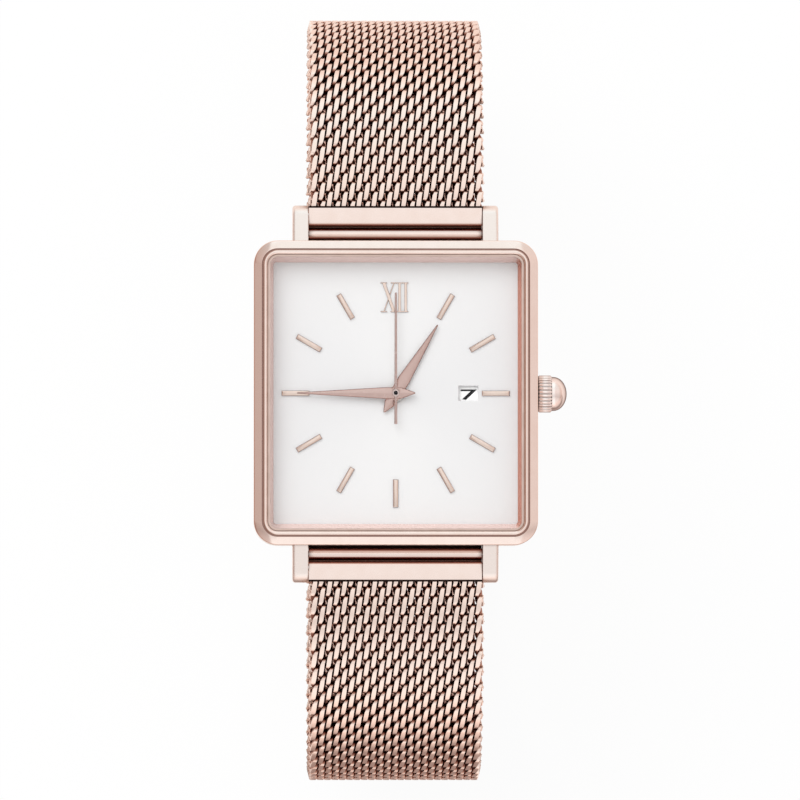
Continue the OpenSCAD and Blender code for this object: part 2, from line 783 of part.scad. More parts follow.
module minute_hand() {
  color(rose) in_head(minute_hand_h) rotate(-minute_angle)
    hand(minute_l, minute_w, 0.9, 1.8, 0.12, 0.1, hand_t, cannon_r, 0.14);
}

module second_hand() {
  color(rose) in_head(second_hand_h)
    hand(second_l, second_w, -2, 2.86, second_w, 0.12, second_hand_t, second_arbor_r, 0.22);
}

// The crown: a knurled drum with chamfered ends and a polished dome
module crown() {
  x0 = case_w / 2 + 0.05;
  ring_r = crown_d / 2;
  chamfer = 0.16;
  hollow_d = 0.9;
  dome_r = dome_d / 2;
  ball_r = (dome_r * dome_r + dome_h * dome_h) / (2 * dome_h);
  pitch = 360 / crown_ridges;
  color(rose) in_head(stem_h) translate([x0, 0, 0]) rotate([0, 90, 0]) difference() {
    union() {
      intersection() {
        linear_extrude(crown_l) polygon([for (i = [0 : crown_ridges - 1],
          s = [[ring_r, -0.25], [ring_r, 0.1], [ring_r - crown_groove, 0.32],
            [ring_r - crown_groove, 0.53]]) polar(s[0], (i + s[1]) * pitch)]);
        rotate_extrude() polygon([[0, 0], [ring_r - chamfer, 0], [ring_r, chamfer],
          [ring_r, crown_l - chamfer], [ring_r - chamfer, crown_l], [0, crown_l]]);
      }
      translate([0, 0, crown_l - 0.01]) rotate_extrude($fn = 96) intersection() {
        translate([0, dome_h - ball_r]) circle(r = ball_r);
        square([dome_r, dome_h]);
      }
    }
    translate([0, 0, -0.5]) cylinder(r = crown_tube_r + 0.3, h = hollow_d + 0.5);
  }
}

module winding_stem() {
  x1 = case_w / 2 + 0.05 + 0.9;
  x0 = movement_r - 2;
  color(steel) in_head(stem_h) {
    rod_x(x0, x1, stem_r - 0.1);
    rod_x(movement_r + 0.2, x1, stem_r);
    rod_x(x0, x0 + 0.9, stem_r);
  }
}

module crown_gasket() {
  color(rubber) in_head(stem_h) translate([case_w / 2 + 0.35, 0, 0]) rotate([0, 90, 0]) difference() {
    cylinder(r = crown_tube_r + 0.3 - run, h = 0.25);
    translate([0, 0, -0.5]) cylinder(r = crown_tube_r + run, h = 2);
  }
}

// The band's end piece: a tube on the spring bar and a rounded clamp on the band
module end_piece_profile() {
  r = 0.5;
  l0 = clamp_out - clamp_l;
  difference() {
    union() {
      circle(r = tube_r);
      translate([0, -0.35]) square([1.2, 0.7]);
      translate([l0 + r, -clamp_t / 2]) square([clamp_l - 2 * r, clamp_t]);
      translate([l0, -clamp_t / 2 + r]) square([clamp_l, clamp_t - 2 * r]);
      for (x = [l0 + r, l0 + clamp_l - r], y = [-1, 1]) translate([x, y * (clamp_t / 2 - r)])
        circle(r = r);
    }
    circle(r = bar_r + fit);
  }
}

module end_piece() {
  color(rose) translate([0, bar_at, mesh_top_z]) across(lug_gap - 2 * slip) end_piece_profile();
}

module end_piece_12() end_piece();
module end_piece_6() mirror([0, 1, 0]) end_piece();

// One row of the woven band, seen from the side: its two ribs and the core between
module row_profile(core_l) {
  square([core_l, core_t], center = true);
  for (y = [-1, 1]) translate([0, y * rib_out]) circle(r = rib_r, $fn = 24);
}

// A bending section: its rows, a nose at its far end and a cup at its near end
module curved_section(i) {
  hinge_r = core_t / 2;
  near = (i - 1) * section_deg;
  far = i * section_deg;
  half = row_pitch / 2;
  across(mesh_w) translate([arc_y, arc_z]) difference() {
    union() {
      for (k = [0 : section_rows - 1]) rotate(90 - near - (k + 0.5) * row_deg)
        translate([mesh_r, 0]) rotate(90) row_profile(row_pitch);
      rotate(90 - far) translate([mesh_r, 0]) circle(r = hinge_r);
    }
    if (i > 1) rotate(90 - near) translate([mesh_r, 0]) circle(r = hinge_r + fit);
  }
  if (i == 1) translate([0, arc_y, mesh_top_z]) across(lug_gap - 4 * slip)
    translate([-0.25, -core_t / 2]) square([0.25 + half, core_t]);
}

// The straight end of a half, which starts with a cup at the last hinge
module straight_section(rows) {
  across(mesh_w) translate([arc_y, mesh_low_z]) difference() {
    for (k = [0 : rows - 1]) translate([-(k + 0.5) * row_pitch, 0]) row_profile(row_pitch);
    circle(r = core_t / 2 + fit);
  }
}

module mesh_12(i) {
  color(rose_light) if (i <= sections) curved_section(i); else straight_section(end_rows_12);
}

module mesh_6(i) {
  color(rose_light) mirror([0, 1, 0])
    if (i <= sections) curved_section(i); else straight_section(end_rows_6);
}

// The crimped end of the twelve o'clock half, with the tongue that meets the catch bar
module hook_end() {
  t = 2 * band_half_t + 0.4;
  low = mesh_low_z - t / 2;
  front = end_12_y - crimp_l;
  color(rose) {
    across(mesh_w + 0.2) translate([front, low]) square([crimp_l, t]);
    across(tongue_w) polygon([[front, low + 0.3], [front, low - 0.02], [front - 0.9, tongue_z],
      [tongue_tip, tongue_z], [tongue_tip, tongue_z + tongue_t], [front - 1, tongue_z + tongue_t],
      [front - 0.3, low + 0.3]]);
  }
}

module mesh_end_cap() {
  t = 2 * band_half_t;
  color(rose) across(mesh_w) {
    translate([end_6_y, mesh_low_z - t / 2]) square([cap_l - t / 2, t]);
    translate([end_6_y + cap_l - t / 2, mesh_low_z]) circle(r = t / 2);
  }
}

// The slider that carries the flap and the catch bar, and grips the band
module slider_frame() {
  back = pin_y - 0.7;
  front = catch_y + 0.6;
  low = rail_z[0];
  high = rail_z[1];
  pad_top = mesh_low_z - band_half_t - 0.15;
  corner = 0.6;
  color(rose) difference() {
    union() {
      for (x = [-1, 1]) translate([x * (rail_in + rail_t / 2), 0, 0]) across(rail_t) {
        translate([back + corner, low]) square([front - back - 2 * corner, high - low]);
        translate([back, low + corner]) square([front - back, high - low - 2 * corner]);
        for (y = [back + corner, front - corner], z = [low + corner, high - corner])
          translate([y, z]) circle(r = corner);
      }
      translate([-rail_in - 0.01, -bridge_plate_l / 2 - 1.5, high - bridge_plate_t])
        cube([2 * rail_in + 0.02, bridge_plate_l, bridge_plate_t]);
      translate([-rail_in - 0.01, -3, pad_top - 0.7]) cube([2 * rail_in + 0.02, 4.5, 0.7]);
    }
    for (p = [[pin_y, pin_z, pin_r], [catch_y, catch_z, catch_r]]) translate([0, p[0], p[1]])
      rod_x(-rail_in - 2, rail_in + 2, p[2] + snug);
  }
}

module catch_bar() {
  color(steel) translate([0, catch_y, catch_z]) rod_x(-rail_in - rail_t, rail_in + rail_t, catch_r);
}

module flap_pin() {
  color(steel) translate([0, pin_y, pin_z]) rod_x(-rail_in - rail_t, rail_in + rail_t, pin_r);
}

// The flap that closes over the slider, turning on three knuckles
module locking_flap() {
  back = pin_y - 0.4;
  knuckle_l = 3.2;
  edge = 0.2;
  color(rose) difference() {
    union() {
      across(flap_w) {
        translate([back + edge, 0]) square([flap_front - back - 2 * edge, flap_t]);
        translate([back, edge]) square([flap_front - back, flap_t - edge]);
        for (y = [back + edge, flap_front - edge]) translate([y, edge]) circle(r = edge);
      }
      for (x = [-6, 0, 6]) translate([x, 0, 0]) across(knuckle_l) {
        translate([pin_y, pin_z]) circle(r = knuckle_r);
        translate([pin_y - 0.35, flap_t - 0.05]) square([0.95, pin_z - flap_t]);
      }
    }
    translate([0, pin_y, pin_z]) rod_x(-rail_in, rail_in, pin_r + run);
  }
}

case_middle();
bezel();
crystal();
crystal_gasket();
dial_flange();
dial();
hour_markers();
numeral_twelve();
movement_holder();
case_back();
back_gasket();
crown_tube();
spring_bar_12();
spring_bar_6();
main_plate();
train_bridge();
circuit_board();
battery();
battery_clamp();
coil();
stator();
quartz_can();
rotor();
fifth_wheel();
second_wheel();
third_wheel();
centre_wheel();
minute_wheel();
hour_wheel();
date_wheel();
date_ring();
second_hand();
minute_hand();
hour_hand();
crown();
winding_stem();
crown_gasket();
end_piece_12();
end_piece_6();
mesh_12(1);  // mesh_12_1
mesh_12(2);  // mesh_12_2
mesh_12(3);  // mesh_12_3
mesh_12(4);  // mesh_12_4
mesh_12(5);  // mesh_12_5
mesh_12(6);  // mesh_12_6
mesh_12(7);  // mesh_12_7
mesh_6(1);  // mesh_6_1
mesh_6(2);  // mesh_6_2
mesh_6(3);  // mesh_6_3
mesh_6(4);  // mesh_6_4
mesh_6(5);  // mesh_6_5
mesh_6(6);  // mesh_6_6
mesh_6(7);  // mesh_6_7
hook_end();
mesh_end_cap();
slider_frame();
catch_bar();
locking_flap();
flap_pin();
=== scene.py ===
# %% [markdown]
# # A small square wristwatch on a woven wire band
#
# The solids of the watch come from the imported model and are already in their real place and
# size. This file dresses them: it gives every part a finish, and it remakes the parts whose
# beauty lies in fine shape, such as the bezel, the hands and the band. Lengths are written in
# millimetres, as a watchmaker would, and become metres when a mesh is finished.

# %% Load the watch
import json
from math import atan2, cos, pi, radians, sin

import bmesh
import bpy
from mathutils import Matrix, Vector


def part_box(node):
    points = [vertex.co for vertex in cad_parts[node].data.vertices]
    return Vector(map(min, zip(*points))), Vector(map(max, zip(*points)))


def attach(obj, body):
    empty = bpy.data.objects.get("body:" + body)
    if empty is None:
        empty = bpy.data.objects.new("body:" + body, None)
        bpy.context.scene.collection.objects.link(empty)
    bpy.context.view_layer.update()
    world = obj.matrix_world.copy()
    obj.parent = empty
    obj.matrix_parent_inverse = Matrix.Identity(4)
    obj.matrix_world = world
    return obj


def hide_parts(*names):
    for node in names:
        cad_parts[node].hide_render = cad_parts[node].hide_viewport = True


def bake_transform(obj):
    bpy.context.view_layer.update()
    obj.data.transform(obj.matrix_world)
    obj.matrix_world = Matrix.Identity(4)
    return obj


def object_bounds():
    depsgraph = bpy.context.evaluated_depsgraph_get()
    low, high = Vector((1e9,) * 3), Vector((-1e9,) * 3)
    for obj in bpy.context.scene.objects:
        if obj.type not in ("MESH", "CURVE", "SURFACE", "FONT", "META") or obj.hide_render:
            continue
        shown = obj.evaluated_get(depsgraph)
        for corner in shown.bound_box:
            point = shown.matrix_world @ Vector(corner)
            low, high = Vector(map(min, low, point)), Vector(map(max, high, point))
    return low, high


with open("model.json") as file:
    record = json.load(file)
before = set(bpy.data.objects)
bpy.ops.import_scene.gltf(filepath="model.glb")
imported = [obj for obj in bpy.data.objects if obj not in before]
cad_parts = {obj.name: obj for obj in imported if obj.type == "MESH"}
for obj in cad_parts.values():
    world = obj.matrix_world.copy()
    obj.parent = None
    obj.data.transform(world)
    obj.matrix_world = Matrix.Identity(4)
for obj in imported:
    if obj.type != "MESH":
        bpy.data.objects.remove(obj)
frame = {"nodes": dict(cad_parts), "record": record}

cad_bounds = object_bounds()
scene = bpy.context.scene
MM = 0.001

# %% [markdown]
# ## The camera
#
# The photograph is taken from straight above the dial with a long lens, so that the case shows
# almost no side. The camera could look down one axis, but a watch is never laid out that
# exactly: it is turned a little towards six o'clock and to the left, as the picture shows.

# %% Camera
SENSOR = 36.0
CAMERA_AWAY = 850.0
VIEW_WIDTH = 73.3
LEAN_LEFT, LEAN_DOWN = radians(1.0), radians(1.85)
look_at = Vector((0.40, -0.62, 39.9)) * MM
line = Vector((-sin(LEAN_LEFT), -sin(LEAN_DOWN), 1.0)).normalized()
camera_data = bpy.data.cameras.new("camera")
camera_data.sensor_width = SENSOR
camera_data.lens = SENSOR * CAMERA_AWAY / VIEW_WIDTH
camera_data.clip_end = 20
camera = bpy.data.objects.new("camera", camera_data)
camera.location = look_at + line * CAMERA_AWAY * MM
right = Vector((0, 1, 0)).cross(line).normalized()
camera.rotation_euler = Matrix((right, line.cross(right), line)).transposed().to_euler()
scene.collection.objects.link(camera)
scene.camera = camera
scene.view_settings.view_transform = "Standard"
print("camera", [round(c, 3) for c in camera.location], "lens", round(camera_data.lens, 1))

# %% [markdown]
# ## Helpers for materials
#
# A real finish is never one flat value. Each helper here adds one kind of node, and takes a
# number, a colour or another node's output for each of its values, so that a finish reads like a
# short sum. The nodes could be wired one by one, but then every finish would be a page long.


# %% Node helpers
def new_material(name):
    """A material, its node tree and its shader."""
    material = bpy.data.materials.new(name)
    material.use_nodes = True
    return material, material.node_tree, material.node_tree.nodes["Principled BSDF"]


def given(tree, socket, value):
    """Sets a socket to a number or a colour, or links another node's output to it."""
    if isinstance(value, bpy.types.NodeSocket):
        tree.links.new(value, socket)
    elif isinstance(value, tuple):
        socket.default_value = (*value, 1)
    else:
        socket.default_value = value


def two_colours(tree, factor, first, second, blend="MIX"):
    """Mixes two colours by a factor."""
    mix = tree.nodes.new("ShaderNodeMix")
    mix.data_type = "RGBA"
    mix.blend_type = blend
    for name, value in (("Factor", factor), ("A", first), ("B", second)):
        given(tree, mix.inputs[name], value)
    return mix.outputs["Result"]


def two_shaders(tree, factor, first, second):
    """Mixes two shaders by a factor."""
    mix = tree.nodes.new("ShaderNodeMixShader")
    for socket, value in zip(mix.inputs, (factor, first, second)):
        given(tree, socket, value)
    return mix.outputs["Shader"]


def maths(tree, operation, *values):
    """One sum on one or two numbers."""
    node = tree.nodes.new("ShaderNodeMath")
    node.operation = operation
    for socket, value in zip(node.inputs, values):
        given(tree, socket, value)
    return node.outputs["Value"]


def ranged(tree, value, from_low, from_high, low=0.0, high=1.0):
    """Carries the values between two limits to the values between two others."""
    node = tree.nodes.new("ShaderNodeMapRange")
    for name, number in (("Value", value), ("From Min", from_low), ("From Max", from_high),
                         ("To Min", low), ("To Max", high)):
        given(tree, node.inputs[name], number)
    return node.outputs["Result"]


def ramp_of(tree, value, stops):
    """Colours along one value, given as (place, colour) stops."""
    ramp = tree.nodes.new("ShaderNodeValToRGB")
    elements = ramp.color_ramp.elements
    elements[0].position, elements[1].position = stops[0][0], stops[-1][0]
    for place, _ in stops[1:-1]:
        elements.new(place)
    for element, (_, colour) in zip(elements, stops):
        element.color = (*colour, 1)
    tree.links.new(value, ramp.inputs["Fac"])
    return ramp.outputs["Color"]


def own(tree, kind="Object"):
    """Where a point lies on its own piece; or the way that it faces, as kind Normal."""
    return tree.nodes.new("ShaderNodeTexCoord").outputs[kind]


def part_of(tree, vector, axis):
    """One of a vector's three numbers."""
    parts = tree.nodes.new("ShaderNodeSeparateXYZ")
    tree.links.new(vector, parts.inputs["Vector"])
    return parts.outputs[axis]


# %% [markdown]
# ## Grain
#
# Every finish follows a grain: a noise on the piece's own coordinates, which can be stretched
# into the lines of a brush. It drives the roughness, a slight change of colour and a very shallow
# bump. A photograph of brushed steel would do as well, but would be soft from near by.


# %% Grain and finishes
def grain(tree, stretch):
    """A noise on the piece's own coordinates, finer along some axes than others."""
    mapping = tree.nodes.new("ShaderNodeMapping")
    mapping.inputs["Scale"].default_value = stretch
    noise = tree.nodes.new("ShaderNodeTexNoise")
    noise.inputs["Scale"].default_value = 1.0
    noise.inputs["Detail"].default_value = 3.0
    tree.links.new(own(tree), mapping.inputs["Vector"])
    tree.links.new(mapping.outputs["Vector"], noise.inputs["Vector"])
    return noise.outputs["Fac"]


def between(tree, factor, low, high):
    """Carries a noise, which mostly lies from 0.3 to 0.7, to the values low to high."""
    return ranged(tree, factor, 0.3, 0.7, low, high)


def shallow_bump(tree, shader, factor, depth_mm):
    """Lets a noise raise the surface by a few thousandths of a millimetre."""
    bump = tree.nodes.new("ShaderNodeBump")
    bump.inputs["Strength"].default_value = 1.0
    bump.inputs["Distance"].default_value = depth_mm * MM
    tree.links.new(factor, bump.inputs["Height"])
    tree.links.new(bump.outputs["Normal"], shader.inputs["Normal"])


def in_recesses(tree, colour, reach_mm, dark):
    """Paints shade into a colour where other metal stands close by, as in a groove."""
    near = tree.nodes.new("ShaderNodeAmbientOcclusion")
    near.samples = 8
    near.inputs["Distance"].default_value = reach_mm * MM
    return two_colours(tree, ranged(tree, near.outputs["AO"], 0.38, 0.85), dark, colour)


def finish_of(name, colour, darker, rough, stretch, metal=1.0, depth_mm=0.0, recess_shade=None):
    """A finish whose colour, roughness and surface all follow one grain, with optional painted
    shade in recesses.
    """
    material, tree, shader = new_material(name)
    lines = grain(tree, stretch)
    shader.inputs["Metallic"].default_value = metal
    tint = two_colours(tree, between(tree, lines, 0, 1), darker, colour)
    # Painted shade where other metal stands close.
    if recess_shade:
        tint = in_recesses(tree, tint, *recess_shade)
    tree.links.new(tint, shader.inputs["Base Color"])
    tree.links.new(between(tree, lines, *rough), shader.inputs["Roughness"])
    if depth_mm:
        shallow_bump(tree, shader, lines, depth_mm)
    return material


# %% [markdown]
# ## Rose gold
#
# The steel is coated with a copper-coloured gold, and the grain tells the parts from each other:
# mirror polish on the bezel, crown and end links, fine satin on the case, lugs and clasp. A
# groove mirrors only its own walls, so most finishes get painted shade: a dark colour where other
# metal stands close, as in recesses. The slope under the glass mirrors the pale dial and so looks
# less like metal. Towards its rim the round crown mirrors dark, and that dark reflection is
# painted in as its metal's edge tint.

# %% Rose gold finishes
ROSE, ROSE_DEEP = (0.93, 0.785, 0.72), (0.90, 0.745, 0.675)
SATIN, SATIN_DEEP = (0.93, 0.84, 0.79), (0.90, 0.80, 0.745)
# The near-black of painted shade in grooves and recesses.
GROOVE_SHADE = (0.04, 0.015, 0.01)
POLISH = (0.10, 0.15)
# The dark that the crown's rim mirrors, painted in as its edge tint.
CROWN_RIM_REFLECTION = (0.10, 0.05, 0.04)
EVEN, FINE = (900, 900, 900), (1500, 1500, 1500)
rose_polished = finish_of("rose_polished", ROSE, ROSE_DEEP, POLISH, EVEN, recess_shade=(0.7, GROOVE_SHADE))
rose_link = finish_of("rose_link", ROSE, ROSE_DEEP, POLISH, EVEN, recess_shade=(0.7, GROOVE_SHADE))
rose_bezel = finish_of("rose_bezel", ROSE, ROSE_DEEP, POLISH, EVEN,
                       recess_shade=(0.4, (0.34, 0.20, 0.165)))
rose_clear = finish_of("rose_clear", (0.90, 0.69, 0.64), (0.87, 0.66, 0.61), (0.16, 0.24), EVEN,
                       metal=0.6)
rose_satin = finish_of("rose_satin", SATIN, SATIN_DEEP, (0.26, 0.36), (700, 9000, 9000),
                       depth_mm=0.0006, recess_shade=(0.3, (0.30, 0.17, 0.14)))
rose_crown = finish_of("rose_crown", (0.98, 0.88, 0.84), (0.95, 0.84, 0.80), (0.16, 0.22), EVEN,
                       recess_shade=(0.3, (0.16, 0.08, 0.065)))
# Painted dark reflection at the crown's rim, set as the edge tint.
given(rose_crown.node_tree, rose_crown.node_tree.nodes["Principled BSDF"].inputs["Specular Tint"],
      CROWN_RIM_REFLECTION)
hand_rose = finish_of("hand_rose", (0.68, 0.50, 0.455), (0.63, 0.46, 0.415), (0.20, 0.28), FINE)
second_rose = finish_of("second_rose", (0.67, 0.55, 0.52), (0.63, 0.51, 0.48), (0.20, 0.28),
                        FINE)
marker_rose = finish_of("marker_rose", (0.88, 0.73, 0.645), (0.83, 0.68, 0.595), (0.14, 0.2),
                        FINE)
print("rose gold finishes:", len(bpy.data.materials))

# %% [markdown]
# ## Painted reflections on the narrow sides
#
# A hand, a bar or a rim has sides only a few tenths of a millimetre wide, which mirror brown
# things low in the room. Such a room could be built round the watch, but its every corner would
# show in the broad faces too. So that dark reflection is painted: the colour of a side is drawn
# over by the way it faces on the piece itself, which stays true in every view.


# %% Sides in another colour
def drawn_over(material, amount, colour):
    """Mixes another colour into a finish, by an amount from 0 to 1."""
    tree = material.node_tree
    base = tree.nodes["Principled BSDF"].inputs["Base Color"]
    tree.links.new(two_colours(tree, amount, base.links[0].from_socket, colour), base)


def steep_sides(material, start, end, colour):
    """Paints shade on what leans; start and end lie between 0, which is level, and 1, upright."""
    tree = material.node_tree
    level = maths(tree, "ABSOLUTE", part_of(tree, own(tree, "Normal"), "Z"))
    drawn_over(material, ranged(tree, maths(tree, "SUBTRACT", 1.0, level), start, end), colour)


def left_facing_sides(material, colour):
    """Paints a darker reflection on the walls that face left, where it is dark beside the watch.
    """
    tree = material.node_tree
    drawn_over(material, ranged(tree, part_of(tree, own(tree, "Normal"), "X"), -0.1, -0.6), colour)


# Painted shade on the steep sides of hands, bars and end links, and a darker painted reflection on
# the left-facing walls of the slope and bezel.
steep_sides(hand_rose, 0.12, 0.35, (0.30, 0.16, 0.13))
steep_sides(marker_rose, 0.05, 0.28, (0.28, 0.15, 0.115))
steep_sides(rose_link, 0.01, 0.20, (0.33, 0.14, 0.105))
left_facing_sides(rose_clear, (0.60, 0.255, 0.18))
left_facing_sides(rose_bezel, (0.74, 0.52, 0.43))
print("finishes with other sides: hands, bars, end links, slope and bezel")

# %% [markdown]
# ## Drawn wire
#
# The wire of the band shines where it lies on the face. Inside the weave it mirrors only other
# wire, and that dark brown is painted shade. When a coil is made, each of its points stores a
# value named reach, which is 1 on the face and 0 in the middle of the band. The finish reads that
# value and paints the shade by it, so the gaps stay dark on a band that bends.

# %% Drawn wire
WIRE_ROSE, WIRE_DEEP = (0.97, 0.80, 0.715), (0.94, 0.75, 0.66)
# Painted shade along reach: near black deep in the weave, the wire's full colour on the face.
SHADE_BY_REACH = [(0.20, (0.055, 0.021, 0.014)), (0.55, (0.22, 0.09, 0.068)),
            (0.80, (0.56, 0.37, 0.31)), (0.92, (1, 1, 1))]


def drawn_wire(name):
    """Wire that shines on the face of the band, with painted shade within it."""
    material, tree, shader = new_material(name)
    speckle = grain(tree, (2500, 2500, 2500))
    reach = tree.nodes.new("ShaderNodeAttribute")
    reach.attribute_name = "reach"
    bare = two_colours(tree, between(tree, speckle, 0, 1), WIRE_DEEP, WIRE_ROSE)
    painted_shade = ramp_of(tree, reach.outputs["Fac"], SHADE_BY_REACH)
    tree.links.new(two_colours(tree, 1.0, bare, painted_shade, "MULTIPLY"), shader.inputs["Base Color"])
    tree.links.new(between(tree, speckle, 0.20, 0.30), shader.inputs["Roughness"])
    shader.inputs["Metallic"].default_value = 1.0
    return material


rose_wire = drawn_wire("rose_wire")
print("wire stops:", len(SHADE_BY_REACH))

# %% [markdown]
# ## The hidden metals, plastic and rubber
#
# Behind the dial sits a quartz movement. Nothing of it shows in the photograph, but the parts
# are there when the watch is opened, so each has the finish that such a part has: a grained
# nickel plate, yellow brass wheels, a green board, a copper winding and a bright steel cell.

# %% Other finishes
plain_steel = finish_of("plain_steel", (0.62, 0.62, 0.63), (0.54, 0.54, 0.55), (0.22, 0.34),
                        (500, 7000, 7000), depth_mm=0.0006)
plate_nickel = finish_of("plate_nickel", (0.66, 0.65, 0.62), (0.58, 0.57, 0.54), (0.3, 0.42),
                         (2500, 2500, 2500), depth_mm=0.001)
train_brass = finish_of("train_brass", (0.83, 0.62, 0.27), (0.74, 0.53, 0.21), (0.22, 0.32),
                        (2000, 2000, 2000))
cell_steel = finish_of("cell_steel", (0.7, 0.7, 0.71), (0.63, 0.63, 0.64), (0.18, 0.26),
                       (1200, 1200, 1200))
movement_plastic = finish_of("movement_plastic", (0.62, 0.61, 0.57), (0.56, 0.55, 0.51),
                             (0.45, 0.58), EVEN, metal=0.0, depth_mm=0.002)
board_green = finish_of("board_green", (0.03, 0.17, 0.07), (0.02, 0.11, 0.05), (0.35, 0.5),
                        (1800, 1800, 1800), metal=0.0, depth_mm=0.001)
seal_rubber = finish_of("seal_rubber", (0.035, 0.035, 0.035), (0.02, 0.02, 0.02), (0.5, 0.65),
                        FINE, metal=0.0, depth_mm=0.001)
gasket_pale = finish_of("gasket_pale", (0.55, 0.42, 0.37), (0.48, 0.36, 0.31), (0.3, 0.4), EVEN,
                        metal=0.0)
date_white = finish_of("date_white", (0.95, 0.95, 0.95), (0.92, 0.92, 0.92), (0.4, 0.5), FINE,
                       metal=0.0)
# A black for the strips that paint shadow at the end pieces.
shadow_black = finish_of("shadow_black", (0.02, 0.01, 0.008), (0.03, 0.015, 0.012), (0.5, 0.6), EVEN)
digit_ink = finish_of("digit_ink", (0.01, 0.01, 0.012), (0.02, 0.02, 0.022), (0.35, 0.45),
                      (3000, 3000, 3000), metal=0.0)
for dull in (digit_ink, shadow_black):
    dull.node_tree.nodes["Principled BSDF"].inputs["Specular IOR Level"].default_value = 0.1


def winding(name):
    """Fine copper wire wound round a core: close rings across the coil's length."""
    material, tree, shader = new_material(name)
    rings = tree.nodes.new("ShaderNodeTexWave")
    rings.bands_direction = "Y"
    rings.inputs["Scale"].default_value = 2400
    tree.links.new(own(tree), rings.inputs["Vector"])
    tree.links.new(two_colours(tree, rings.outputs["Fac"], (0.35, 0.12, 0.04), (0.8, 0.36, 0.16)),
                   shader.inputs["Base Color"])
    shader.inputs["Metallic"].default_value = 1.0
    shader.inputs["Roughness"].default_value = 0.28
    shallow_bump(tree, shader, rings.outputs["Fac"], 0.02)
    return material


coil_copper = winding("coil_copper")
print("finishes so far:", len(bpy.data.materials))

# %% [markdown]
# ## The dial's silver
#
# The dial is brushed outward from its centre and then silvered. Such brushing mirrors the light
# brightly in two soft sectors and greyer beside them, and here that sheen is painted into the
# colour. The lines could be drawn as an image; here a noise is read at the angle round the
# centre, so that it stays sharp at any distance. The painted sectors come from the same angle,
# and the fine lines also steer the roughness.


# %% Silver dial
def sunray_silver(name):
    """Silver with fine lines that run outward from the centre and a painted sheen in two sectors.
    """
    material, tree, shader = new_material(name)
    flat = tree.nodes.new("ShaderNodeVectorMath")
    flat.operation = "MULTIPLY"
    flat.inputs[1].default_value = (1, 1, 0)
    outward = tree.nodes.new("ShaderNodeVectorMath")
    outward.operation = "NORMALIZE"
    tree.links.new(own(tree), flat.inputs[0])
    tree.links.new(flat.outputs["Vector"], outward.inputs[0])
    lines = tree.nodes.new("ShaderNodeTexNoise")
    lines.inputs["Scale"].default_value = 60
    lines.inputs["Detail"].default_value = 4
    tree.links.new(outward.outputs["Vector"], lines.inputs["Vector"])
    # Painted sheen: the colour is brighter towards twelve and six.
    to_twelve = part_of(tree, outward.outputs["Vector"], "Y")
    wide = two_colours(tree, maths(tree, "MULTIPLY", to_twelve, to_twelve),
                       (0.80, 0.80, 0.805), (0.845, 0.845, 0.845))
    tree.links.new(two_colours(tree, 0.04, wide, lines.outputs["Fac"], "MULTIPLY"),
                   shader.inputs["Base Color"])
    tree.links.new(between(tree, lines.outputs["Fac"], 0.34, 0.46), shader.inputs["Roughness"])
    shader.inputs["Metallic"].default_value = 0.25
    return material


dial_silver = sunray_silver("dial_silver")
print("dial finish:", dial_silver.name)

# %% [markdown]
# ## The crystal
#
# Flat sapphire glass lets the dial show and mirrors a little of the studio. A true glass shader
# would bend every lamp ray and leave a dark, noisy dial; a pane this flat hardly bends light at
# all. So light passes straight on, and Fresnel adds the mirror sheen that grows at a low angle.
# The inner faces get no sheen, because from inside Fresnel would mirror everything away and
# turn the dial black in a side view.


# %% Sapphire
def clear_pane(name):
    """Glass that lets light straight through and mirrors a little on its outer faces."""
    material, tree, shader = new_material(name)
    tree.nodes.remove(shader)
    through = tree.nodes.new("ShaderNodeBsdfTransparent")
    through.inputs["Color"].default_value = (0.99, 0.99, 0.99, 1)
    mirror = tree.nodes.new("ShaderNodeBsdfAnisotropic")
    mirror.inputs["Roughness"].default_value = 0.02
    sheen = tree.nodes.new("ShaderNodeFresnel")
    sheen.inputs["IOR"].default_value = 1.2
    side = tree.nodes.new("ShaderNodeNewGeometry")
    outer = maths(tree, "SUBTRACT", 1.0, side.outputs["Backfacing"])
    pane = two_shaders(tree, maths(tree, "MULTIPLY", sheen.outputs["Fac"], outer),
                       through.outputs["BSDF"], mirror.outputs["BSDF"])
    tree.links.new(pane, tree.nodes["Material Output"].inputs["Surface"])
    return material


sapphire = clear_pane("sapphire")
print("finishes:", len(bpy.data.materials))

# %% [markdown]
# ## Tools for shaping
#
# Each new piece is a bmesh drawn in millimetres, and a few operators shape nearly all of them:
# an edge is rounded, a face is raised, a profile is spun round. They could be called directly,
# but their defaults differ from the editor's, so each one gets its settings once, here.


# %% Shaping tools
def is_edge(e):
    """Whether an element of a mesh is an edge."""
    return isinstance(e, bmesh.types.BMEdge)


def is_vert(v):
    """Whether an element of a mesh is a point."""
    return isinstance(v, bmesh.types.BMVert)


def rounded(bm, parts, width, segments=2, affect="EDGES", clamp=False):
    """Rounds edges or corners with a round profile."""
    bmesh.ops.bevel(bm, geom=parts, affect=affect, offset=width, offset_type="OFFSET",
                    segments=segments, profile=0.5, material=-1, clamp_overlap=clamp)


def break_edges(bm, width, sharper_than=35, segments=2, only=None):
    """Rounds every edge that is sharper than an angle."""
    edges = [e for e in bm.edges if len(e.link_faces) == 2
             and e.calc_face_angle(0) > radians(sharper_than) and (only is None or only(e))]
    rounded(bm, edges, width, segments, clamp=True)


def drawn_out(bm, edges, way):
    """Draws a wall out of some edges; gives the edges and points at its far end."""
    drawn = bmesh.ops.extrude_edge_only(bm, edges=edges)["geom"]
    far = [v for v in drawn if is_vert(v)]
    bmesh.ops.translate(bm, vec=way, verts=far)
    reached = set(far)
    return [e for e in drawn if is_edge(e) and all(v in reached for v in e.verts)], far


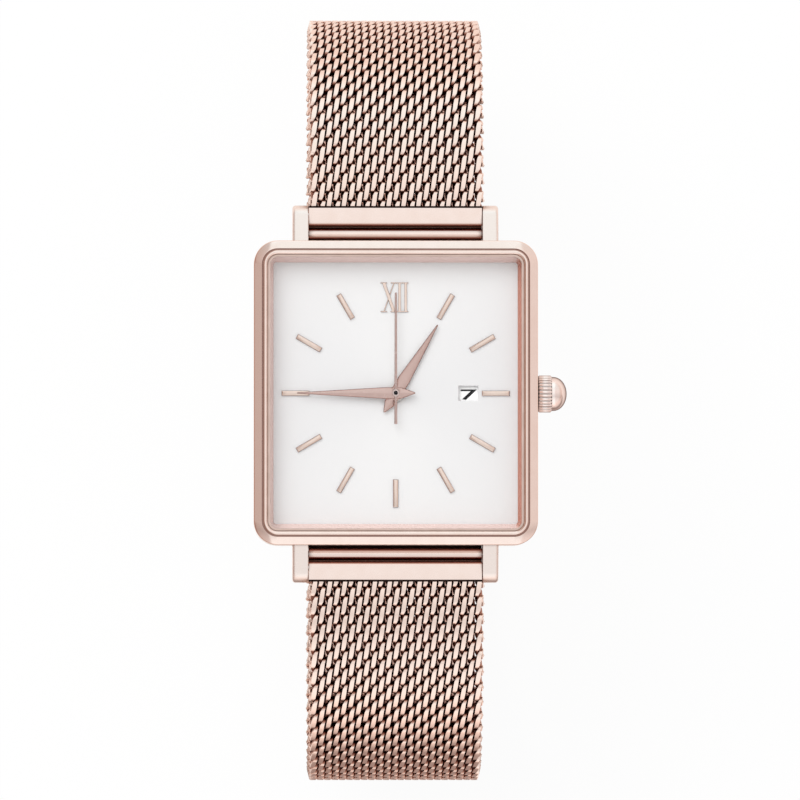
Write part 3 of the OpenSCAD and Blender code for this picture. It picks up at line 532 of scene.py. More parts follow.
def raised(bm, faces, way):
    """Gives some faces a thickness."""
    drawn = bmesh.ops.extrude_face_region(bm, geom=faces)["geom"]
    bmesh.ops.translate(bm, vec=way, verts=[v for v in drawn if is_vert(v)])


def spun_round(bm, edges, centre, axis, steps):
    """Turns a profile once round an axis."""
    bmesh.ops.spin(bm, geom=edges, cent=centre, axis=axis, angle=2 * pi, steps=steps,
                   use_merge=True, use_duplicate=False)


def cut_across(bm, point, normal):
    """Adds an edge all round, where a plane meets the mesh."""
    bmesh.ops.bisect_plane(bm, geom=list(bm.verts) + list(bm.edges) + list(bm.faces),
                           plane_co=point, plane_no=normal, dist=0.0005)


def turned_about(bm, angle):
    """Turns a mesh about the line through the dial's centre."""
    bmesh.ops.rotate(bm, cent=(0, 0, 0), matrix=Matrix.Rotation(angle, 3, "Z"), verts=bm.verts)


def joined(bm, part):
    """Adds one bmesh to another and frees it."""
    spare = bpy.data.meshes.new("part")
    part.to_mesh(spare)
    part.free()
    bm.from_mesh(spare)
    bpy.data.meshes.remove(spare)


# %% [markdown]
# ## Finishing a piece
#
# One helper turns a drawn mesh into a finished object, which rides on a body of the watch.
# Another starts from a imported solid, whose triangles are loose: it merges them into clean faces
# and rounds the edges, because even a sharp machined edge is broken a little, and that thin
# curve is what catches the light. Broad faces keep one tone, because the shading follows the
# largest face at each edge.


# %% Finished pieces
def finished(bm, name, body, material, smooth=35, replaces=(), flat_faces=True):
    """Makes the drawn mesh a piece of the watch."""
    bmesh.ops.recalc_face_normals(bm, faces=bm.faces)
    bmesh.ops.scale(bm, vec=(MM, MM, MM), verts=bm.verts)
    mesh = bpy.data.meshes.new(name)
    bm.to_mesh(mesh)
    bm.free()
    mesh.shade_smooth()
    mesh.set_sharp_from_angle(angle=radians(smooth))
    mesh.materials.append(material)
    piece = bpy.data.objects.new(name, mesh)
    scene.collection.objects.link(piece)
    if flat_faces:
        piece.modifiers.new("flat_faces", "WEIGHTED_NORMAL").keep_sharp = True
    if body:
        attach(piece, body)
    if replaces:
        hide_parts(*replaces)
    print(f"{name}: {len(mesh.polygons)} faces")
    return piece


def body_of(node):
    """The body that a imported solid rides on."""
    return next(body for body, members in frame["record"]["behaviour"]["bodies"].items()
                if node in members)


def merged_solid(node):
    """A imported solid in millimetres, its triangles joined into whole faces."""
    bm = bmesh.new()
    bm.from_mesh(frame["nodes"][node].data)
    bmesh.ops.scale(bm, vec=(1 / MM, 1 / MM, 1 / MM), verts=bm.verts)
    bmesh.ops.remove_doubles(bm, verts=bm.verts, dist=0.0005)
    bmesh.ops.dissolve_limit(bm, angle_limit=radians(1.5), verts=bm.verts, edges=bm.edges)
    return bm


def dressed(node, name, material, width):
    """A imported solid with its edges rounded, which then stands for the solid."""
    bm = merged_solid(node)
    break_edges(bm, width)
    return finished(bm, name, body_of(node), material, replaces=[node])


def mm_box(node):
    """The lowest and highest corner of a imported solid, in millimetres."""
    low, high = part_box(node)
    return low / MM, high / MM


print("packed case reaches", [round(c, 2) for c in mm_box("case_middle")[1]], "mm")

# %% [markdown]
# ## A frame swept round the case
#
# The bezel, the case wall and the flange are all one profile carried round a rectangle with
# round corners. They could be cut from a block, but a turned profile gives clean, unbroken
# highlights. The profile is drawn as a face whose corners are rounded, then it is spun through
# each corner and extruded along each side until it meets itself.


# %% Swept frame
def swept_frame(profile, half_w, half_l, steps=14):
    """profile holds (out, up, rounding); out is measured from the centres of the corners."""
    bm = bmesh.new()
    corners = [bm.verts.new((half_w + out, half_l, up)) for out, up, _ in profile]
    bm.faces.new(corners)
    for rounding in sorted({r for _, _, r in profile if r}):
        chosen = [v for v, point in zip(corners, profile) if point[2] == rounding]
        rounded(bm, chosen, rounding, segments=7 if rounding > 0.2 else 3, affect="VERTICES")
    bmesh.ops.delete(bm, geom=list(bm.faces), context="FACES_ONLY")
    edges = list(bm.edges)
    centres = [(half_w, half_l), (-half_w, half_l), (-half_w, -half_l), (half_w, -half_l)]
    sides = [(-2 * half_w, 0), (0, -2 * half_l), (2 * half_w, 0), (0, 2 * half_l)]
    for centre, side in zip(centres, sides):
        turned = bmesh.ops.spin(bm, geom=edges, cent=(*centre, 0), axis=(0, 0, 1),
                                angle=pi / 2, steps=steps, use_duplicate=False)
        edges, _ = drawn_out(bm, [e for e in turned["geom_last"] if is_edge(e)], (*side, 0))
    bmesh.ops.remove_doubles(bm, verts=bm.verts, dist=0.002)
    return bm


case_low, case_high = mm_box("case_middle")
bezel_low, bezel_high = mm_box("bezel")
CORNER = 2.2
HALF_W = bezel_high.x - CORNER
HALF_L = bezel_high.y - CORNER
SEAT = bezel_low.z
print("case corner centres at", round(HALF_W, 3), round(HALF_L, 3), "bezel seat", round(SEAT, 3))

# %% [markdown]
# ## The bezel
#
# From outside in, the bezel is a rounded band, a narrow groove and a thin bright rim that stands
# a little higher, right round the crystal. Each is a curve of its own in the profile, because
# the dark lines in the photograph are the steep sides between them.

# %% Bezel
TOP = bezel_high.z - SEAT
BAND_TOP, BAND_DROP = TOP - 0.15, 0.29
GROOVE_OUT, GROOVE_IN, GROOVE_LOW = 1.44, 1.29, BAND_TOP - 0.3
RIM_IN, GLASS_OUT, LEDGE_OUT = 1.03, 0.9, 1.2
LEDGE = mm_box("crystal")[0].z - SEAT
bezel_profile = [
    (CORNER, 0, 0.04), (CORNER, BAND_TOP - BAND_DROP, 0.11), (GROOVE_OUT, BAND_TOP, 0.06),
    (GROOVE_OUT, GROOVE_LOW, 0.03), (GROOVE_IN, GROOVE_LOW, 0.03), (GROOVE_IN, TOP, 0.10),
    (RIM_IN, TOP, 0.09), (GLASS_OUT, TOP - 0.22, 0.04), (GLASS_OUT, LEDGE, 0),
    (LEDGE_OUT, LEDGE, 0), (LEDGE_OUT, 0, 0)]
bm = swept_frame([(out, SEAT + up, r) for out, up, r in bezel_profile], HALF_W, HALF_L)
# The bezel's finish paints shade into the groove and a darker reflection on its walls that face
# left.
finished(bm, "bezel_ring", "case", rose_bezel, smooth=32, replaces=["bezel"])

# %% [markdown]
# ## The flange under the glass
#
# Between the crystal and the dial a polished slope runs down all round. It mirrors the dial and
# its own opposite side, so one side looks pale; the brown of the walls that face left is a
# painted reflection.

# %% Flange
flange_low, flange_high = mm_box("dial_flange")
OPEN_CORNER, OPEN_WIDER = 0.25, 0.13
FLANGE_OUT, SLOPE = 1.15, 0.5
flange_up = flange_high.z - flange_low.z
flange_profile = [(OPEN_CORNER, 0, 0.03), (FLANGE_OUT, 0, 0), (FLANGE_OUT, flange_up, 0),
                  (OPEN_CORNER + SLOPE, flange_up, 0.03)]
bm = swept_frame([(out, flange_low.z + up, r) for out, up, r in flange_profile],
                 HALF_W + OPEN_WIDER, HALF_L)
finished(bm, "flange_slope", "case", rose_clear, smooth=32,
         replaces=["dial_flange"])

# %% [markdown]
# ## The case body and its lugs
#
# The case wall is the same kind of swept frame, with a generous rounding below. The lugs are
# drawn as one shape each: a rounded tip and a tall root are wrapped in their common hull, and
# then every edge is broken, widely on the outside and finely beside the end link. They reach
# into the wall, as the forged case is one piece of steel.

# %% Case body
LUG_W, LUG_GAP = 1.45, 16.0
LUG_TIP_R, LUG_PAST, LUG_LIFT = 1.25, 0.18, 0.3
LUG_ROUND, LUG_FINE = 0.27, 0.05
WALL_IN, SEAT_IN, SEAT_DEEP = 0.1, 0.7, 0.45
BACK = case_low.z
body_profile = [
    (WALL_IN, BACK, 0.05), (CORNER, BACK, 0.43), (CORNER, SEAT, 0.06), (SEAT_IN, SEAT, 0),
    (SEAT_IN, SEAT - SEAT_DEEP, 0), (WALL_IN, SEAT - SEAT_DEEP, 0)]
bm = swept_frame(body_profile, HALF_W, HALF_L)


def add_lug(bm, side, end):
    """A lug between the case wall and its rounded tip, on one side of one end."""
    low_z, high_z, root_y = BACK + LUG_LIFT, SEAT - 0.15, HALF_L + 1.3
    tip_y, tip_z = case_high.y + LUG_PAST - LUG_TIP_R, low_z + LUG_TIP_R
    middle = side * (LUG_GAP + LUG_W) / 2
    lug = bmesh.new()
    for x in (middle - LUG_W / 2, middle + LUG_W / 2):
        place = Matrix.Translation((x, tip_y, tip_z)) @ Matrix.Rotation(pi / 2, 4, "Y")
        bmesh.ops.create_circle(lug, radius=LUG_TIP_R, segments=40, matrix=place)
        for z in (low_z, high_z):
            lug.verts.new((x, root_y, z))
    hull = bmesh.ops.convex_hull(lug, input=lug.verts)
    spare = {g for g in hull["geom_interior"] + hull["geom_unused"] if is_vert(g)}
    bmesh.ops.delete(lug, geom=[v for v in lug.verts if v in spare], context="VERTS")
    bmesh.ops.dissolve_limit(lug, angle_limit=radians(1), verts=lug.verts, edges=lug.edges)
    for width, inner in ((LUG_ROUND, False), (LUG_FINE, True)):
        break_edges(lug, width, segments=4, only=lambda e: all(
            (abs(v.co.x) < abs(middle)) == inner for v in e.verts))
    if end < 0:
        turned_about(lug, pi)
    joined(bm, lug)


for side in (-1, 1):
    for end in (-1, 1):
        add_lug(bm, side, end)
finished(bm, "case_body", "case", rose_satin, smooth=32, replaces=["case_middle"])

# %% [markdown]
# ## The crystal and its gasket
#
# The pane is a rectangle whose corners are rounded, raised to its thickness, with a polished
# chamfer round the top. The chamfer matters: it draws a fine bright line just inside the rim.

# %% Crystal
glass_low, glass_high = mm_box("crystal")
GLASS_CORNER, GLASS_CHAMFER = 0.7, 0.05
bm = bmesh.new()
pane = [bm.verts.new((x, y, glass_low.z))
        for x, y in ((glass_low.x, glass_low.y), (glass_high.x, glass_low.y),
                     (glass_high.x, glass_high.y), (glass_low.x, glass_high.y))]
bm.faces.new(pane)
rounded(bm, pane, GLASS_CORNER, segments=8, affect="VERTICES")
raised(bm, list(bm.faces), (0, 0, glass_high.z - glass_low.z))
rim = [e for e in bm.edges if all(v.co.z > glass_high.z - 0.001 for v in e.verts)]
rounded(bm, rim, GLASS_CHAMFER)
finished(bm, "crystal_pane", "case", sapphire, smooth=25, replaces=["crystal"])

# %% [markdown]
# ## The crown
#
# The crown is a drum with thirty ridges for the fingers and a polished dome on its end. A circle
# is drawn with six points to a ridge, some of which are pulled in to make the groove, and the
# ring is extruded along the axis, smaller at both ends for the chamfers. The dome is an arc spun
# round the axis.

# %% Crown
crown_low, crown_high = mm_box("crown")
CROWN_R, CROWN_L, RIDGES = 1.7, 1.35, 30
RIDGE_FORM = (1, 1, 0.98, 0.93, 0.93, 0.98)
CHAMFER_L, CHAMFER_SIZE = 0.16, 1 / 1.1
DOME_R, DOME_PAST, DOME_FOOT = 1.56, 0.25, 0.12
axis_z = (crown_low.z + crown_high.z) / 2
bm = bmesh.new()
turned = Matrix.Translation((crown_low.x, 0, axis_z)) @ Matrix.Rotation(pi / 2, 4, "Y")
ring = bmesh.ops.create_circle(bm, radius=CROWN_R, segments=len(RIDGE_FORM) * RIDGES,
                               matrix=turned)["verts"]
centre_line = Matrix.Translation((0, 0, -axis_z))
for i, v in enumerate(ring):
    size = RIDGE_FORM[i % len(RIDGE_FORM)] * CHAMFER_SIZE
    bmesh.ops.scale(bm, vec=(1, size, size), space=centre_line, verts=[v])
first = edges = list(bm.edges)
for step, size in ((CHAMFER_L, 1 / CHAMFER_SIZE), (CROWN_L - 2 * CHAMFER_L, 1),
                   (CHAMFER_L, CHAMFER_SIZE)):
    edges, far = drawn_out(bm, edges, (step, 0, 0))
    bmesh.ops.scale(bm, vec=(1, size, size), space=centre_line, verts=far)
for end in (first, edges):
    bmesh.ops.contextual_create(bm, geom=end)
drum_end = crown_low.x + CROWN_L
dome_h = crown_high.x + DOME_PAST - drum_end
outline = [(drum_end - 0.05, DOME_R)] + [
    (drum_end + DOME_FOOT + (dome_h - DOME_FOOT) * sin(a), DOME_R * cos(a))
    for a in (radians(d) for d in range(0, 90, 9))] + [(drum_end + dome_h, 0)]
points = [bm.verts.new((x, 0, axis_z + r)) for x, r in outline]
arc = [bm.edges.new(pair) for pair in zip(points, points[1:])]
spun_round(bm, arc, (0, 0, axis_z), (1, 0, 0), 48)
bmesh.ops.remove_doubles(bm, verts=bm.verts, dist=0.002)
finished(bm, "crown_head", "crown_unit", rose_crown, smooth=40,
         replaces=["crown"])

# %% [markdown]
# ## The dial, its window and its markers
#
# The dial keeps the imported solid's outline and gets a broken edge round the date window, which
# is what frames the day in the photograph. A ring narrows its hole to fit closely round the
# hands' tubes, so that nobody sees down into the movement.

# %% Dial and window
dial_low, dial_high = mm_box("dial")
DIAL_TOP = dial_high.z
WINDOW_FROM, WINDOW_TO, WINDOW_HALF = 3, 9, 2
HOLE_R, DIAL_HOLE, HOLE_DEEP = 0.64, 0.86, 0.2
bm = merged_solid("dial")
break_edges(bm, 0.09, only=lambda e: all(
    WINDOW_FROM < v.co.x < WINDOW_TO and abs(v.co.y) < WINDOW_HALF and v.co.z > DIAL_TOP - 0.01
    for v in e.verts))
hole_ring = [bm.verts.new((r, 0, z)) for r, z in (
    (HOLE_R, DIAL_TOP - HOLE_DEEP), (HOLE_R, DIAL_TOP), (DIAL_HOLE, DIAL_TOP),
    (DIAL_HOLE, DIAL_TOP - HOLE_DEEP))]
hole_edges = [bm.edges.new(pair) for pair in zip(hole_ring, hole_ring[1:] + hole_ring[:1])]
spun_round(bm, hole_edges, (0, 0, 0), (0, 0, 1), 64)
finished(bm, "dial_plate", "case", dial_silver, replaces=["dial"])
print("dial spans", [round(c, 2) for c in (*dial_low, *dial_high)])

# %% [markdown]
# ## The markers
#
# The eleven bars are small blocks with wide chamfers, so that each shows a light middle between
# two darker sides, and painted shade darkens those sides further. A costlier dial has bars with
# many facets, but the photograph shows plain ones. The numeral is the imported one with its
# strokes rounded over.

# %% Markers
MARK_IN, MARK_L, MARK_W, MARK_H, MARK_CHAMFER = 7.9, 2.55, 0.48, 0.22, 0.13
bm = bmesh.new()
for hour in range(1, 12):
    turn = Matrix.Rotation(radians(-30 * hour), 4, "Z")
    place = turn @ Matrix.Translation((0, MARK_IN + MARK_L / 2, DIAL_TOP + MARK_H / 2))
    block = place @ Matrix.Diagonal((MARK_W, MARK_L, MARK_H, 1))
    bmesh.ops.create_cube(bm, size=1, matrix=block)
upper = [e for e in bm.edges if all(v.co.z > DIAL_TOP + MARK_H / 2 for v in e.verts)]
rounded(bm, upper, MARK_CHAMFER)
finished(bm, "hour_bars", "case", marker_rose, smooth=25,
         replaces=["hour_markers"])
dressed("numeral_twelve", "twelve_strokes", marker_rose, width=0.035)

# %% [markdown]
# ## The days behind the window
#
# The date ring carries the numbers 1 to 31. Each is a text, made a mesh at once, widened as the
# digits of such rings are, and turned to its place on the ring, so that seven stands upright in
# the window. They ride on the ring and pass the window as it turns.

# %% Date numbers
ring_high = mm_box("date_ring")[1]
NUMBER_H, BOLDER, RAISED = 1.34, 0.016, 0.004
ONE_DIGIT_W, TWO_DIGITS_W, ONE_WIDER = 1.5, 1.6, 1.3
WINDOW_X, ASIDE, LOWER, ABOVE_RING = 6.67, 0.05, -0.16, 0.006
number_parts = bmesh.new()
for day in range(1, 32):
    text = bpy.data.curves.new(f"day_{day}", "FONT")
    text.body = str(day)
    text.size = NUMBER_H
    text.align_x, text.align_y = "CENTER", "CENTER"
    text.offset = BOLDER
    text.extrude = RAISED
    holder = bpy.data.objects.new(f"day_{day}", text)
    scene.collection.objects.link(holder)
    drawn = bpy.data.meshes.new_from_object(
        holder.evaluated_get(bpy.context.evaluated_depsgraph_get()))
    low = min(v.co.x for v in drawn.vertices)
    high = max(v.co.x for v in drawn.vertices)
    widen = (ONE_DIGIT_W if day < 10 else TWO_DIGITS_W) / (high - low)
    if day == 1:
        widen = ONE_WIDER
    place = (Matrix.Rotation(radians(-(day - 7) * 360 / 31), 4, "Z")
             @ Matrix.Translation((WINDOW_X + ASIDE, LOWER, ring_high.z + ABOVE_RING))
             @ Matrix.Diagonal((widen, 1, 1, 1))
             @ Matrix.Translation((-(low + high) / 2, 0, 0)))
    drawn.transform(place)
    number_parts.from_mesh(drawn)
    bpy.data.objects.remove(holder)
    bpy.data.curves.remove(text)
    bpy.data.meshes.remove(drawn)
bmesh.ops.remove_doubles(number_parts, verts=number_parts.verts, dist=0.0005)
finished(number_parts, "date_numbers", "date_ring_unit", digit_ink, smooth=30)

# %% [markdown]
# ## The hands
#
# The hour and minute hands are tapered blades with a faint ridge along the middle, so that one
# half is always a little lighter than the other. The outline is drawn as a face, raised to the
# hand's thickness, cut along its middle, and the cut is lifted. A round hub goes over the arbor,
# whose dark tip shows in the second hand's hub.


# %% Hand maker
RIDGE, RIDGE_END, HAND_EDGE, HUB_EDGE = 0.08, 0.35, 0.05, 0.05


def blade(bm, outline, low, high, ridge, ridge_y):
    """A flat blade with a raised middle line; outline holds (across, along) points."""
    face = bm.faces.new([bm.verts.new((x, y, low)) for x, y in outline])
    raised(bm, [face], (0, 0, high - low))
    break_edges(bm, HAND_EDGE, sharper_than=60, segments=1)
    for point, normal in (((0, 0, 0), (1, 0, 0)), ((0, ridge_y, 0), (0, 1, 0))):
        cut_across(bm, point, normal)
    for v in bm.verts:
        if abs(v.co.x) < 0.001 and v.co.z > high - 0.001:
            near = 1 - min(abs(v.co.y - ridge_y) / (outline[0][1] - ridge_y), 1)
            lift = ridge * (RIDGE_END + (1 - RIDGE_END) * near)
            bmesh.ops.translate(bm, vec=(0, 0, lift), verts=[v])


def hub(bm, radius, low, high):
    """A round boss with a broken edge, centred on the arbor."""
    made = bmesh.ops.create_cone(bm, cap_ends=True, segments=48, radius1=radius, radius2=radius,
                                 depth=high - low,
                                 matrix=Matrix.Translation((0, 0, (low + high) / 2)))["verts"]
    upper = {v for v in made if v.co.z > high - 0.001}
    rounded(bm, [e for e in bm.edges if all(v in upper for v in e.verts)], HUB_EDGE)


def turned_hand(bm, clockwise, name, body, node, material=hand_rose):
    """Turns a hand from twelve to the time it shows and finishes it."""
    turned_about(bm, radians(-clockwise))
    return finished(bm, name, body, material, smooth=20, replaces=[node])


def kite(*half):
    """The outline of a hand from its right half, listed from tip to tail."""
    return list(half) + [(-x, y) for x, y in reversed(half)]


# %% Hour, minute and second hands
hour_low, hour_high = mm_box("hour_hand")
minute_low, minute_high = mm_box("minute_hand")
second_low, second_high = mm_box("second_hand")
bm = bmesh.new()
blade(bm, kite((0.06, 7.35), (0.57, 1.42), (0.47, -1.15), (0.06, -2.07)),
      hour_low.z, hour_high.z, RIDGE, ridge_y=1.42)
hub(bm, 0.66, hour_low.z, hour_high.z + 0.02)
turned_hand(bm, 31.6, "hour_blade", "hour_unit", "hour_hand")
bm = bmesh.new()
blade(bm, kite((0.05, 9.05), (0.53, 0.9), (0.5, -0.5), (0.06, -1.8)),
      minute_low.z, minute_high.z, RIDGE, ridge_y=0.9)
hub(bm, 0.54, minute_low.z, minute_high.z + 0.02)
turned_hand(bm, 270, "minute_blade", "minute_unit", "minute_hand")
bm = bmesh.new()
blade(bm, kite((0.1, 9.2), (0.13, -2), (0.14, -2.86)),
      second_low.z, second_high.z, RIDGE / 4, ridge_y=-2)
hub(bm, 0.36, second_low.z, second_high.z + 0.03)
turned_hand(bm, 0, "second_blade", "second_unit", "second_hand", second_rose)
bm = bmesh.new()
hub(bm, 0.2, second_high.z - 0.02, second_high.z + 0.06)
finished(bm, "arbor_tip", "second_unit", digit_ink)

# %% [markdown]
# ## The woven band
#
# The band is drawn wire. Flat coils lie side by side, one row beside the next, and each coil
# passes through its neighbours' loops, so that leaning links cover the front and their return
# passes lie between them, deeper down. A printed pattern or a bump map would look right only
# from above; here every coil is real. One coil is made: a six-sided section is carried along a
# screw line, and its points are then pressed flat, so that a link is wide on the face and
# narrow where it bends. ROUND_R is the screw's radius, WIRE_R that of the wire's corners and
# FLAT_OUT that of its flat sides, before it is pressed. Two kinds of row alternate, half a loop
# apart, and each row's mesh is a turned copy of one of them.

# %% One coil
COLUMN, LOOPS, STEPS = 0.685, 11.5, 12
LOOP = 2 * COLUMN
ROUND_R, WIRE_R, FLAT_OUT = 1.0, 0.1, 0.0866
COIL_HALF, COIL_RISE, SLANT = 0.76, 0.46, 0.08
FRONT_W, BACK_W, WIRE_T = 0.53, 0.80, 0.36
FRONT_BEND, BACK_BEND, TAPER = 0.42, 0.7, 0.6
REACH = COIL_RISE + WIRE_T / 2
FLATNESS, SWAY, ROUNDER_BENDS, SQUARER_SIDES = 0.12, 0.042, 0.25, 0.35
INNER_REACH, BORDER_W, BORDER_FADE = 0.85, 0.55, 0.35


def pressed(v, start_x, first_turn):
    """Moves one point of the round coil to its place on the flat one."""
    turn = atan2(v.z, -v.y) % (2 * pi)
    along = v.x - start_x
    loop = round((along / LOOP) - (turn - first_turn) / (2 * pi))
    t = turn + 2 * pi * loop
    across = along - LOOP * (t - first_turn) / (2 * pi)
    outward = (v.y * v.y + v.z * v.z) ** 0.5 - ROUND_R
    middle_x = start_x + LOOP * (t - first_turn) / (2 * pi) + SWAY * sin(2 * t)
    bent = t - ROUNDER_BENDS * sin(2 * t)
    steep = max(abs(sin(bent)), 0.05)
    lift = steep ** FLATNESS if abs(sin(bent)) > 0.01 else 0.0
    up = COIL_RISE * lift * (1 if sin(bent) > 0 else -1)
    tangent = Vector((COIL_HALF * sin(bent),
                      FLATNESS * COIL_RISE * cos(bent) * steep ** (FLATNESS - 1)))
    tangent.normalize()
    front = sin(bent) > -0.01
    if front:
        wide = FRONT_W * (FRONT_BEND + (1 - FRONT_BEND) * steep ** TAPER)
    else:
        wide = BACK_W * (BACK_BEND + (1 - BACK_BEND) * lift)
    flat = 0
    if abs(across) > 1e-6:
        flat = (abs(across) / WIRE_R) ** SQUARER_SIDES * (1 if across > 0 else -1)
    side = flat * wide / 2
    rise = outward / FLAT_OUT * WIRE_T / 2
    lean = SLANT * side * (1 if front else -1)
    return Vector((middle_x + side, -COIL_HALF * cos(bent) - tangent.y * rise + lean,
                   up + tangent.x * rise))


def wire_coil(odd):
    """One flat coil across the whole band."""
    bm = bmesh.new()
    first_turn = pi if odd else 0.0
    start_x = -LOOPS * LOOP / 2
    start = Vector((start_x, ROUND_R if odd else -ROUND_R, 0))
    flat_up = Matrix.Rotation(pi / 6, 4, "Z")
    bmesh.ops.create_circle(bm, radius=WIRE_R, segments=6,
                            matrix=Matrix.Translation(start) @ flat_up)
    edges = list(bm.edges)
    made = bmesh.ops.spin(bm, geom=edges, cent=(0, 0, 0), axis=(-1, 0, 0),
                          angle=2 * pi * LOOPS, dvec=(LOOP / STEPS, 0, 0),
                          steps=round(STEPS * LOOPS), use_duplicate=False)
    last = [e for e in made["geom_last"] if is_edge(e)]
    # reach masks the painted shade: it falls from the face into the weave, is lower on the wire's
    # inner side and full along the band's borders.
    reach = bm.verts.layers.float.new("reach")
    for v in bm.verts:
        outward = (v.co.y * v.co.y + v.co.z * v.co.z) ** 0.5 - ROUND_R
        v.co = pressed(v.co, start_x, first_turn)
        v[reach] = abs(v.co.z) / REACH * (INNER_REACH if outward < -0.05 else 1.0)
    low = min(v.co.x for v in bm.verts)
    high = max(v.co.x for v in bm.verts)
    bmesh.ops.translate(bm, vec=(-(low + high) / 2, 0, 0), verts=bm.verts)
    for v in bm.verts:
        from_border = abs(v.co.x) - (high - low) / 2
        v[reach] = max(v[reach], min(1.0, (from_border + BORDER_W) / BORDER_FADE))
    for end in (edges, last):
        bmesh.ops.contextual_create(bm, geom=end)
    bmesh.ops.recalc_face_normals(bm, faces=bm.faces)
    mesh = bpy.data.meshes.new("coil_odd" if odd else "coil_even")
    bm.to_mesh(mesh)
    bm.free()
    print(mesh.name, "is", round(high - low, 3), "mm wide and has", len(mesh.polygons), "faces")
    return mesh


coils = [wire_coil(False), wire_coil(True)]

# %% [markdown]
# ## Laying the rows
#
# The closed band runs from each end piece round a half circle and back under the case. The rows
# are laid along that path. Woven wire bends smoothly from one section to the next; here the weave
# is cut in the middle of each section of the packed band, the first and last stretch ride on the
# band's first and last sections, and the stretches between stay where they are laid.

# %% Rows of coils
SECTION_ROWS, SECTIONS, ROW = 11, 6, 0.84
BEND_ROWS = SECTIONS * SECTION_ROWS
ARC_R = BEND_ROWS * ROW / pi
LOW_Z, BAND_ASIDE = 2.65, 0.12
ARC_Y, ARC_Z = 17.3, LOW_Z + ARC_R


def row_matrix(row):
    """Where a row lies, counted from the end piece."""
    if row < BEND_ROWS:
        turn = pi * (row + 0.5) / BEND_ROWS
        place = (0, ARC_Y + ARC_R * sin(turn), ARC_Z + ARC_R * cos(turn))
    else:
        turn = pi
        place = (0, ARC_Y - (row - BEND_ROWS + 0.5) * ROW, LOW_Z)
    return Matrix.Translation(place) @ Matrix.Rotation(-turn, 4, "X")


def weave(half, stretch, rows):
    """One stretch of the band, as a piece."""
    bm = bmesh.new()
    bm.verts.layers.float.new("reach")
    half_turn = Matrix.Rotation(pi, 4, "Z") if half == "6" else Matrix.Identity(4)
    turn = Matrix.Translation((BAND_ASIDE, 0, 0)) @ half_turn
    for row in rows:
        laid = coils[row % 2].copy()
        laid.transform(turn @ row_matrix(row))
        bm.from_mesh(laid)
        bpy.data.meshes.remove(laid)
    name = f"weave_{half}_{stretch}"
    node = f"mesh_{half}_{min(stretch + 1, 7)}"
    body = {0: f"band_{half}_1", 7: f"band_{half}_7"}.get(stretch)
    piece = finished(bm, name, body, rose_wire, smooth=65, replaces=[node],
                     flat_faces=False)
    if body is None:
        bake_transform(piece)
    return piece


for half, end_rows in (("12", 6), ("6", 26)):
    middles = [SECTION_ROWS * section + SECTION_ROWS // 2 for section in range(SECTIONS + 1)]
    cuts = [-1, *middles, BEND_ROWS + end_rows]
    for stretch, (start_row, end_row) in enumerate(zip(cuts, cuts[1:])):
        weave(half, stretch, range(start_row, end_row))

# %% [markdown]
# ## The end pieces
#
# An end piece hangs on its spring bar. It is drawn again from simple forms: a tube round the
# bar, a thin neck and a rounded clamp that holds the weave. Its finish paints shade on the tube's
# steep sides and in the gaps. Where weave and clamp meet no light gets in, nor behind the tube,
# so a thin black strip of painted shadow stands at each of these places.

# %% End pieces
BAR_Y, BAR_Z = 14.7, LOW_Z + 2 * ARC_R
LINK_W, TUBE_R = LUG_GAP - 0.08, 0.55
NECK_LOW, NECK_HIGH, NECK_IN = -0.5, -0.2, 0.4
CLAMP_OUT, CLAMP_L, CLAMP_T, CLAMP_ROUND = 2.38, 1.66, 1.6, 0.3
# Where the painted shadow strip at the clamp lies.
SHADOW_IN, SHADOW_OUT, SHADOW_UP = -0.05, 0.16, 0.67
LINK_EDGE = 0.05


def drawn_along(bm, outline, rounding=0):
    """A side view of (y, z) points, drawn across the band; its case side can be rounded."""
    face = bm.faces.new([bm.verts.new((-LINK_W / 2, y, z)) for y, z in outline])
    case_side = [v for v in face.verts if v.co.y < outline[0][0] + 0.001]
    if rounding:
        rounded(bm, case_side, rounding, segments=8, affect="VERTICES")
    raised(bm, [f for f in bm.faces if all(abs(v.co.x + LINK_W / 2) < 1e-5 for v in f.verts)],
           (LINK_W, 0, 0))


def end_link(name, node, half_turn):
    """A tube on the spring bar, a thin neck and a rounded clamp that holds the weave."""
    bm = bmesh.new()
    place = Matrix.Translation((0, BAR_Y, BAR_Z)) @ Matrix.Rotation(pi / 2, 4, "Y")
    bmesh.ops.create_cone(bm, cap_ends=True, segments=64, radius1=TUBE_R, radius2=TUBE_R,
                          depth=LINK_W, matrix=place)
    near, far = BAR_Y + CLAMP_OUT - CLAMP_L, BAR_Y + CLAMP_OUT
    for low_y, high_y, low, high, rounding in (
            (BAR_Y, near + NECK_IN, NECK_LOW, NECK_HIGH, 0),
            (near, far, -CLAMP_T / 2, CLAMP_T / 2, CLAMP_ROUND)):
        part = bmesh.new()
        drawn_along(part, [(low_y, BAR_Z + low), (high_y, BAR_Z + low),
                           (high_y, BAR_Z + high), (low_y, BAR_Z + high)], rounding)
        joined(bm, part)
    break_edges(bm, LINK_EDGE, sharper_than=60)
    if half_turn:
        turned_about(bm, pi)
    return finished(bm, name, body_of(node), rose_link, replaces=[node])


def dark_strip(name, body, outline, half_turn):
    """A black strip across the band that paints the shadow where no light gets in."""
    bm = bmesh.new()
    drawn_along(bm, outline)
    bmesh.ops.recalc_face_normals(bm, faces=bm.faces)
    if half_turn:
        turned_about(bm, pi)
    finished(bm, name, body, shadow_black)


